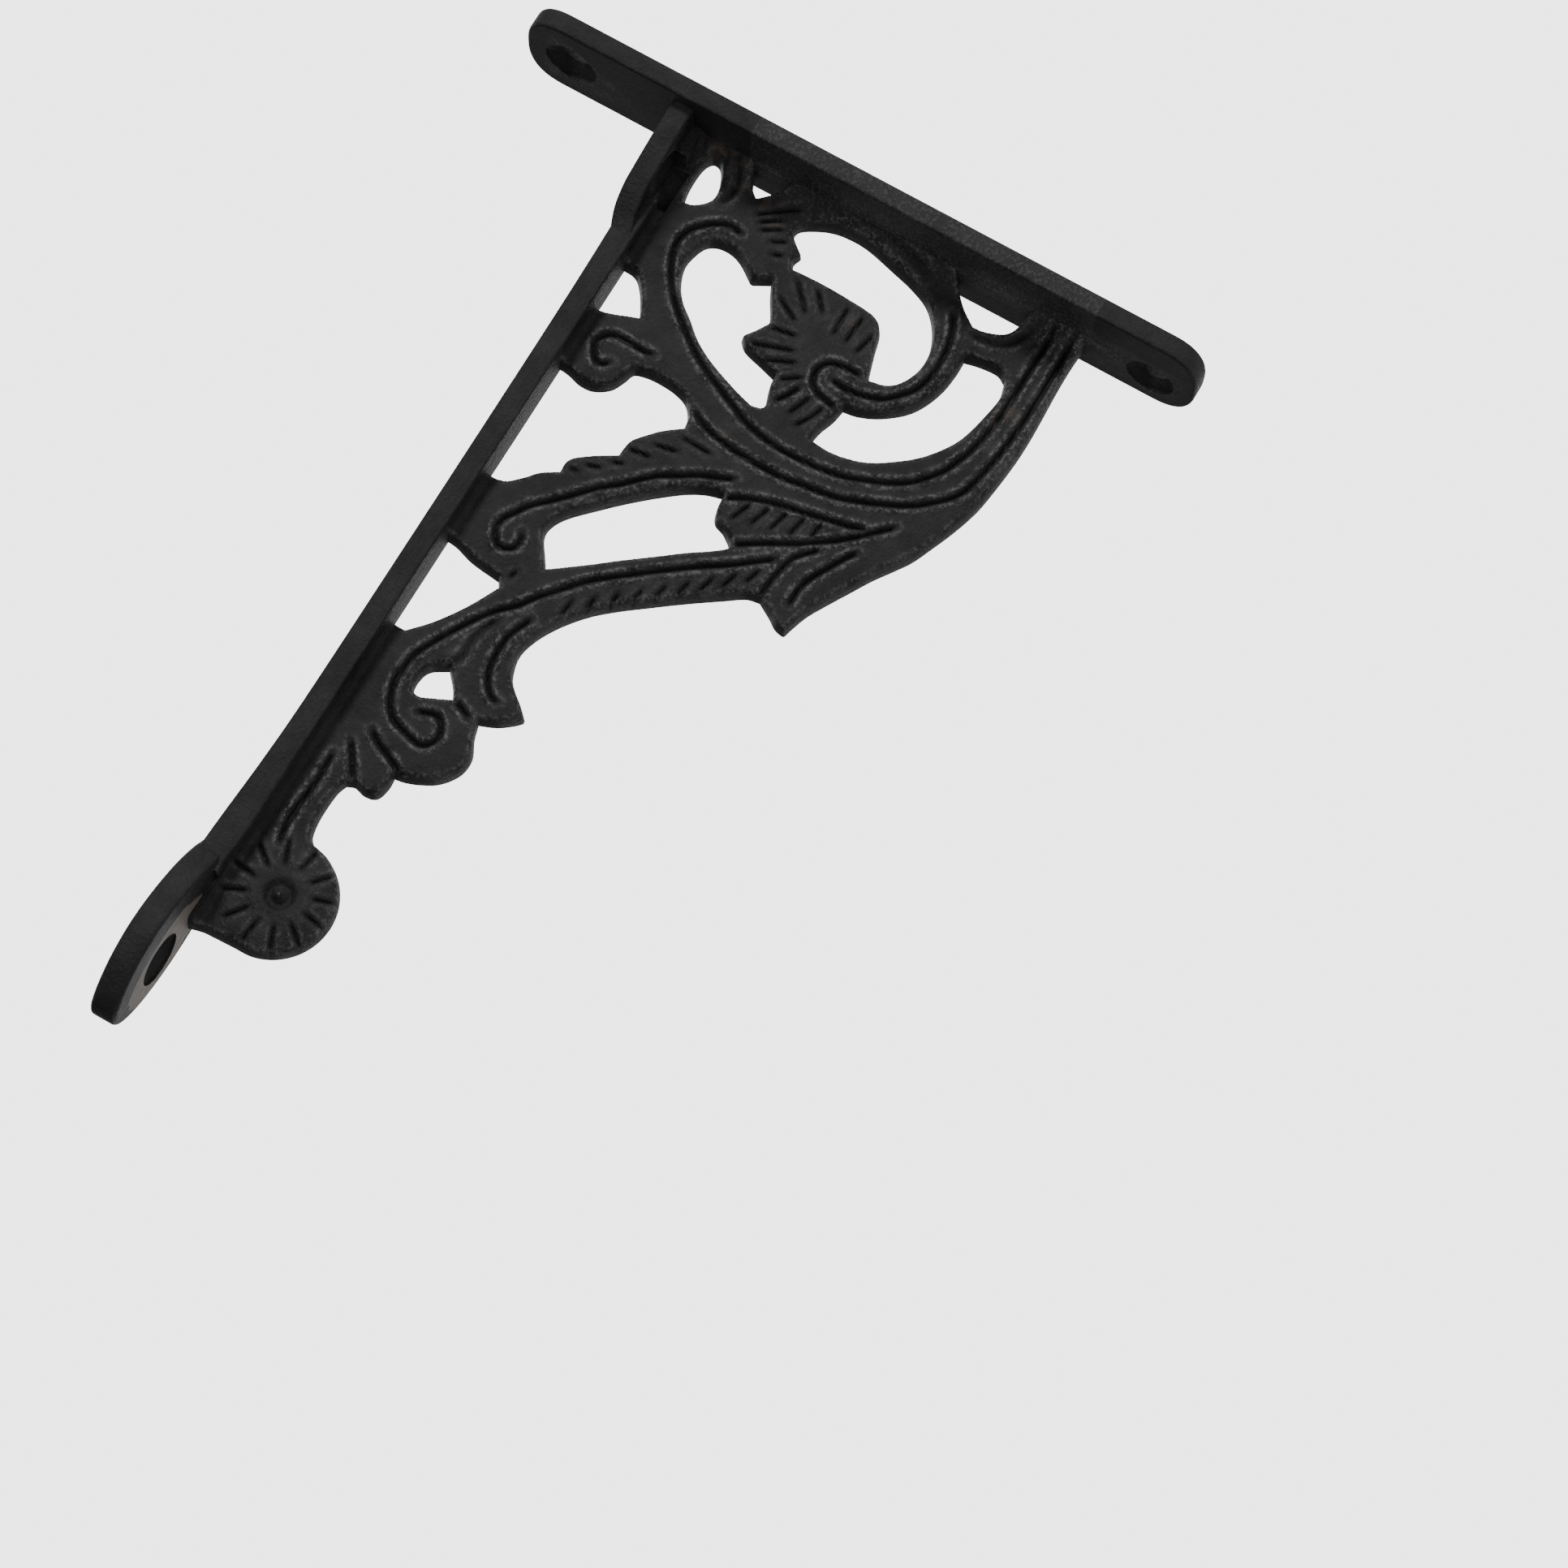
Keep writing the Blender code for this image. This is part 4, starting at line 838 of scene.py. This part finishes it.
def frame_shell(sizes):
    """Plate, rail, wall pad and tip lug as one shell."""
    half = sizes.plate_width / MM / 2
    length, power = PLATE_END
    angle = np.linspace(0, math.pi, 49)
    across = half * np.sign(np.cos(angle)) * np.abs(np.cos(angle)) ** (2 / power)
    along = length * np.abs(np.sin(angle)) ** (2 / power)
    top = sizes.plate_top / MM - length
    bottom = -sizes.plate_bottom / MM + length
    outline = np.vstack([
        np.column_stack([half + across, top + along]), np.column_stack([half - across, bottom - along]),
    ])
    inner = -sizes.plate_thickness / MM
    plate = slab("plate", outline, inner, 0.0, PLATE_ROUND, lambda d, z, x: to_world(x, d, z, sizes))
    (tip, _), (neck, _) = RAIL_PROFILE[:2]
    wall_end = RAIL_PROFILE[-1][0]
    stations = np.concatenate([np.arange(tip, wall_end, 2.0), [wall_end]])
    crown = smooth_line(RAIL_PROFILE, 1.0)
    level = np.interp(stations, crown[:, 0], crown[:, 1])
    rear, front = (np.full(len(stations), depth) for depth in RAIL_DEPTHS)
    under = RAIL_UNDERSIDE + RAIL_TIP_LIFT * eased((neck - stations) / (neck - tip))
    rail = bar("rail", stations, rear, front, under, level, RAIL_ROUND, sizes)
    stations = np.arange(TAB_TOP[0][0], -2.9, 0.8)
    lines = (TAB_REAR, TAB_FRONT, TAB_TOP)
    rear, front, top = (np.interp(stations, *smooth_line(line, 0.5).T) for line in lines)
    tab = bar("tab", stations, rear, front, top - TAB_THICKNESS, top, TAB_ROUND, sizes)
    lug_ring = smooth_oval(LUG_OUTLINE, 0.7)
    lug = slab("lug", lug_ring, *LUG_LEVELS, LUG_ROUND, lambda x, d, z: to_world(x, d, z, sizes))
    joined(plate, [rail, tab, lug], "UNION")
    return plate


def screw_cutters(sizes):
    """One cutter for each screw hole."""
    half = sizes.plate_width / MM / 2
    return [
        screw_cutter(name, (x, half - d, z), axis, mouth, before, length, sizes.screw_hole / MM)
        for name, ((x, d, z), axis, mouth, before, length) in SCREWS.items()
    ]


class Socket:
    """A node's output whose operators add Math nodes; node() adds any other node."""

    def __init__(self, tree, output):
        self.tree = tree
        self.output = output

    def math(self, operation, *others, flip=False):
        values = [self, *others]
        if flip:
            values = values[::-1]
        return node(self.tree, "ShaderNodeMath", {"operation": operation}, dict(enumerate(values)))

    def __add__(self, other):
        return self.math("ADD", other)

    def __sub__(self, other):
        return self.math("SUBTRACT", other)

    def __rsub__(self, other):
        return self.math("SUBTRACT", other, flip=True)

    def __mul__(self, other):
        return self.math("MULTIPLY", other)

    def __truediv__(self, other):
        return self.math("DIVIDE", other)

    def __lt__(self, other):
        return self.math("LESS_THAN", other)

    def __gt__(self, other):
        return self.math("GREATER_THAN", other)

    def between(self, low, high):
        """0 at low, 1 at high, eased between."""
        return node(self.tree, "ShaderNodeMapRange", {"interpolation_type": "SMOOTHSTEP"},
                    {"Value": self, "From Min": low, "From Max": high})


def node(tree, kind, settings, inputs, output=0):
    """Adds a node, sets its settings first and then its sockets' values or links, and wraps one output."""
    made = tree.nodes.new(kind)
    for name, value in settings.items():
        setattr(made, name, value)
    for name, value in inputs.items():
        if isinstance(value, Socket):
            tree.links.new(value.output, made.inputs[name])
        else:
            made.inputs[name].default_value = value
    return Socket(tree, made.outputs[output])


def mixed(tree, factor, a, b):
    """Colour a where the factor is 0 and b where it is 1."""
    made = tree.nodes.new("ShaderNodeMix")
    made.data_type = "RGBA"
    tree.links.new(factor.output, made.inputs[0])
    for slot, value in ((6, a), (7, b)):
        if isinstance(value, Socket):
            tree.links.new(value.output, made.inputs[slot])
        else:
            made.inputs[slot].default_value = tuple(value)
    return Socket(tree, made.outputs[2])


def components(tree, vector):
    """The x, y and z of a vector output."""
    split = tree.nodes.new("ShaderNodeSeparateXYZ")
    tree.links.new(vector.output, split.inputs[0])
    return [Socket(tree, output) for output in split.outputs]


def ground_faces(x, y, z, facing, mottle, cloud):
    """How far the metal is ground bare: round the lug's hole, on both seats, in scuffs on the wall face."""
    facing_x, _, facing_z = facing
    along, across = (x + 0.1828) / 0.0118, (y - 0.0026) / 0.0072
    patch = (along * along + across * across + mottle * 0.5).between(1.25, 1.15)
    under_lug = (facing_z * -1).between(0.9, 0.97) * (z > -0.0056) * patch
    scuffed = facing_x.between(0.9, 0.97) * (x > -0.0004) * cloud.between(0.35, 0.7) * 0.35
    seat = facing_z.between(0.9, 0.97) * (z > -0.0004) * (z < 0.0004)
    return under_lug.math("MAXIMUM", scuffed.math("MAXIMUM", seat * 0.6))


def iron_material(finish):
    """Black cast iron: sand-cast grain, pale wear and painted highlight, painted shade, faint rust, bare
    ground faces.
    """
    material = bpy.data.materials.new("cast_iron")
    material.use_nodes = True
    tree = material.node_tree
    shader = tree.nodes["Principled BSDF"]
    place = node(tree, "ShaderNodeTexCoord", {}, {}, "Object")
    x, y, z = components(tree, place)
    facing = components(tree, node(tree, "ShaderNodeNewGeometry", {}, {}, "Normal"))

    def noise(scale, detail, rough=0.55):
        return node(tree, "ShaderNodeTexNoise", {}, {
            "Vector": place, "Scale": scale, "Detail": detail, "Roughness": rough})

    grain = noise(1500, 3.0, 0.65)
    mottle = noise(330, 3.0)
    cloud = noise(70, 2.0)
    drawn = node(tree, "ShaderNodeVectorMath", {"operation": "MULTIPLY"}, {0: place, 1: (0.06, 1.0, 1.0)})
    streak = node(tree, "ShaderNodeTexNoise", {}, {"Vector": drawn, "Scale": 1400, "Detail": 2.0})
    # Pale mask on ridges, edges and the nub: partly wear, partly painted highlight.
    crest = node(tree, "ShaderNodeAttribute", {"attribute_name": "crest"}, {}, "Fac")
    # Painted shade in the cuts, round the boss's nub and in sunk corners.
    hollow_shade = node(tree, "ShaderNodeAttribute", {"attribute_name": "hollow_shade"}, {}, "Fac")
    ground = ground_faces(x, y, z, facing, mottle, cloud)
    flat_side = (z > -0.0066) * (x < -0.006)
    # Painted shade: faces turned to -X, such as the plate's inner side, take a darker base colour; the same
    # mask also roughens them and weakens their bump.
    shaded_inner_side = (facing[0] * -1).between(0.7, 0.95)
    # Pale speckle on crests: partly wear, partly painted highlight.
    wear_and_highlight = crest * (mottle.between(0.35, 0.7) * 0.4 + grain.between(0.5, 0.58) * 0.7)
    # Painted highlight: a band along the web's fillet next to the plate gets a paler tone and pale speckles.
    fillet_highlight = x.between(-0.0085, -0.0045) * (y < 0.0035) * (z < -0.016) * (z > -0.086)
    # The tone is darkened by the painted shade in the cuts and lightened by the painted highlight on the
    # fillet.
    tone = mottle.between(0.3, 0.75) * 0.4 + cloud.between(0.3, 0.7) * 0.4 + fillet_highlight * 0.5 - hollow_shade * 0.35
    # Painted shade on faces turned to -X.
    tone = tone - shaded_inner_side * 0.35
    base = mixed(tree, tone.math("MAXIMUM", 0.0).math("MINIMUM", 1.0), finish.dark, finish.light)
    # pale adds the painted highlight on the fillet to the wear and painted highlight on crests.
    pale = wear_and_highlight + fillet_highlight * grain.between(0.5, 0.62) * 0.3
    base = mixed(tree, pale.math("MINIMUM", 0.85), base, finish.wear_and_highlight)
    base = mixed(tree, cloud.between(0.6, 0.74) * mottle.between(0.5, 0.62) * 0.4, base, finish.rust)
    base = mixed(tree, (ground * (mottle * 0.4 + 0.75)).math("MINIMUM", 1.0), base, finish.ground)
    tree.links.new(base.output, shader.inputs["Base Color"])
    rough = 0.6 - wear_and_highlight * 0.18 + grain * 0.14 - hollow_shade * 0.04 + shaded_inner_side * 0.3
    tree.links.new(rough.output, shader.inputs["Roughness"])
    shader.inputs["Metallic"].default_value = 0.0
    height = (grain * 1.3 + mottle * 0.9) * (1 - ground * 0.7) * (1 - shaded_inner_side * 0.7)
    height = height + streak * flat_side * 0.7
    bump = node(tree, "ShaderNodeBump", {}, {"Strength": 0.9, "Distance": 0.0003, "Height": height})
    tree.links.new(bump.output, shader.inputs["Normal"])
    shader.inputs["Specular IOR Level"].default_value = 0.09
    return material


class BRACKET_OT_casting(bpy.types.Operator):
    """Makes the bracket's casting: the carved web, and the plate, rail and pads around it"""

    bl_idname = "bracket.casting"
    bl_label = "Casting"

    def execute(self, context):
        sizes = context.scene.casting_sizes
        edges = EdgeMap(web_loops(SAMPLE), sizes.grid / MM)
        web = make_mesh("web", *web_shell(sizes, edges))
        piece = frame_shell(sizes)
        joined(piece, [web], "UNION")
        joined(piece, screw_cutters(sizes), "DIFFERENCE")
        mesh = piece.data
        piece.name = mesh.name = "bracket_casting"
        mesh.polygons.foreach_set("use_smooth", np.ones(len(mesh.polygons), bool))
        mesh.set_sharp_from_angle(angle=math.radians(38))
        mark_wear_highlight_and_shade(mesh, edges, sizes)
        mesh.materials.clear()
        mesh.materials.append(iron_material(context.scene.iron_finish))
        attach(piece, "root")
        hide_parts("shelf_bracket")
        return {"FINISHED"}


class BRACKET_OT_stage(bpy.types.Operator):
    """Makes the pale floor, the soft lights, the white surroundings and the camera"""

    bl_idname = "bracket.stage"
    bl_label = "Stage"

    def execute(self, context):
        studio = context.scene.studio_settings
        around = np.linspace(0, 2 * math.pi, FLOOR_SIDES, endpoint=False)
        rim = np.column_stack([
            studio.floor_radius * np.cos(around), studio.floor_radius * np.sin(around),
            np.full(FLOOR_SIDES, -studio.floor_drop),
        ])
        floor = make_mesh("floor", rim, [list(range(FLOOR_SIDES))])
        paint = bpy.data.materials.new("pale_floor")
        paint.use_nodes = True
        shader = paint.node_tree.nodes["Principled BSDF"]
        place = node(paint.node_tree, "ShaderNodeTexCoord", {}, {}, "Object")
        speck = node(paint.node_tree, "ShaderNodeTexNoise", {}, {"Vector": place, "Scale": 8.0})
        tone = mixed(paint.node_tree, speck, (0.78, 0.78, 0.78, 1), (0.82, 0.82, 0.82, 1))
        paint.node_tree.links.new(tone.output, shader.inputs["Base Color"])
        shader.inputs["Roughness"].default_value = 0.8
        floor.data.materials.append(paint)
        aim = Vector(CAMERA_AIM)
        for name, (place, size, power) in LIGHTS.items():
            lamp = bpy.data.lights.new(name, "AREA")
            lamp.shape = "DISK"
            lamp.size = size
            lamp.energy = power
            made = bpy.data.objects.new(name, lamp)
            made.location = place
            made.rotation_euler = (aim - Vector(place)).to_track_quat("-Z", "Y").to_euler()
            context.scene.collection.objects.link(made)
        world = bpy.data.worlds.new("surroundings")
        world.use_nodes = True
        tree = world.node_tree
        way = node(tree, "ShaderNodeTexCoord", {}, {}, "Generated")
        near, far = SKY
        glow = components(tree, way)[1].between(*SKY_TURN) * (far - near) + near
        tree.links.new(glow.output, tree.nodes["Background"].inputs["Strength"])
        tree.nodes["Background"].inputs["Color"].default_value = (1, 1, 1, 1)
        context.scene.world = world
        lens = bpy.data.cameras.new("camera")
        lens.sensor_width = 36.0
        lens.lens = studio.lens
        lens.clip_start = 0.05
        lens.clip_end = 50.0
        camera = bpy.data.objects.new("camera", lens)
        level = (aim - Vector(CAMERA_PLACE)).to_track_quat("-Z", "Y")
        turn = Matrix.Rotation(studio.turn, 4, "Z")
        camera.matrix_world = Matrix.Translation(CAMERA_PLACE) @ level.to_matrix().to_4x4() @ turn
        context.scene.collection.objects.link(camera)
        context.scene.camera = camera
        return {"FINISHED"}


class BRACKET_PT_panel(bpy.types.Panel):
    """The casting's sizes, the iron's colours, the studio and both buttons"""

    bl_label = "Bracket"
    bl_idname = "BRACKET_PT_panel"
    bl_space_type = "VIEW_3D"
    bl_region_type = "UI"
    bl_category = "Bracket"

    def draw(self, context):
        for group in (context.scene.casting_sizes, context.scene.iron_finish, context.scene.studio_settings):
            for name in group.__annotations__:
                self.layout.prop(group, name)
        for operator in (BRACKET_OT_casting, BRACKET_OT_stage):
            self.layout.operator(operator.bl_idname)


CLASSES = (CastingSizes, IronFinish, StudioSettings, BRACKET_OT_casting, BRACKET_OT_stage, BRACKET_PT_panel)


def register():
    for cls in CLASSES:
        bpy.utils.register_class(cls)
    bpy.types.Scene.casting_sizes = bpy.props.PointerProperty(type=CastingSizes)
    bpy.types.Scene.iron_finish = bpy.props.PointerProperty(type=IronFinish)
    bpy.types.Scene.studio_settings = bpy.props.PointerProperty(type=StudioSettings)


def unregister():
    del bpy.types.Scene.studio_settings
    del bpy.types.Scene.iron_finish
    del bpy.types.Scene.casting_sizes
    for cls in reversed(CLASSES):
        bpy.utils.unregister_class(cls)


def main():
    register()
    bpy.ops.bracket.casting()
    bpy.ops.bracket.stage()


if __name__ == "__main__":
    main()
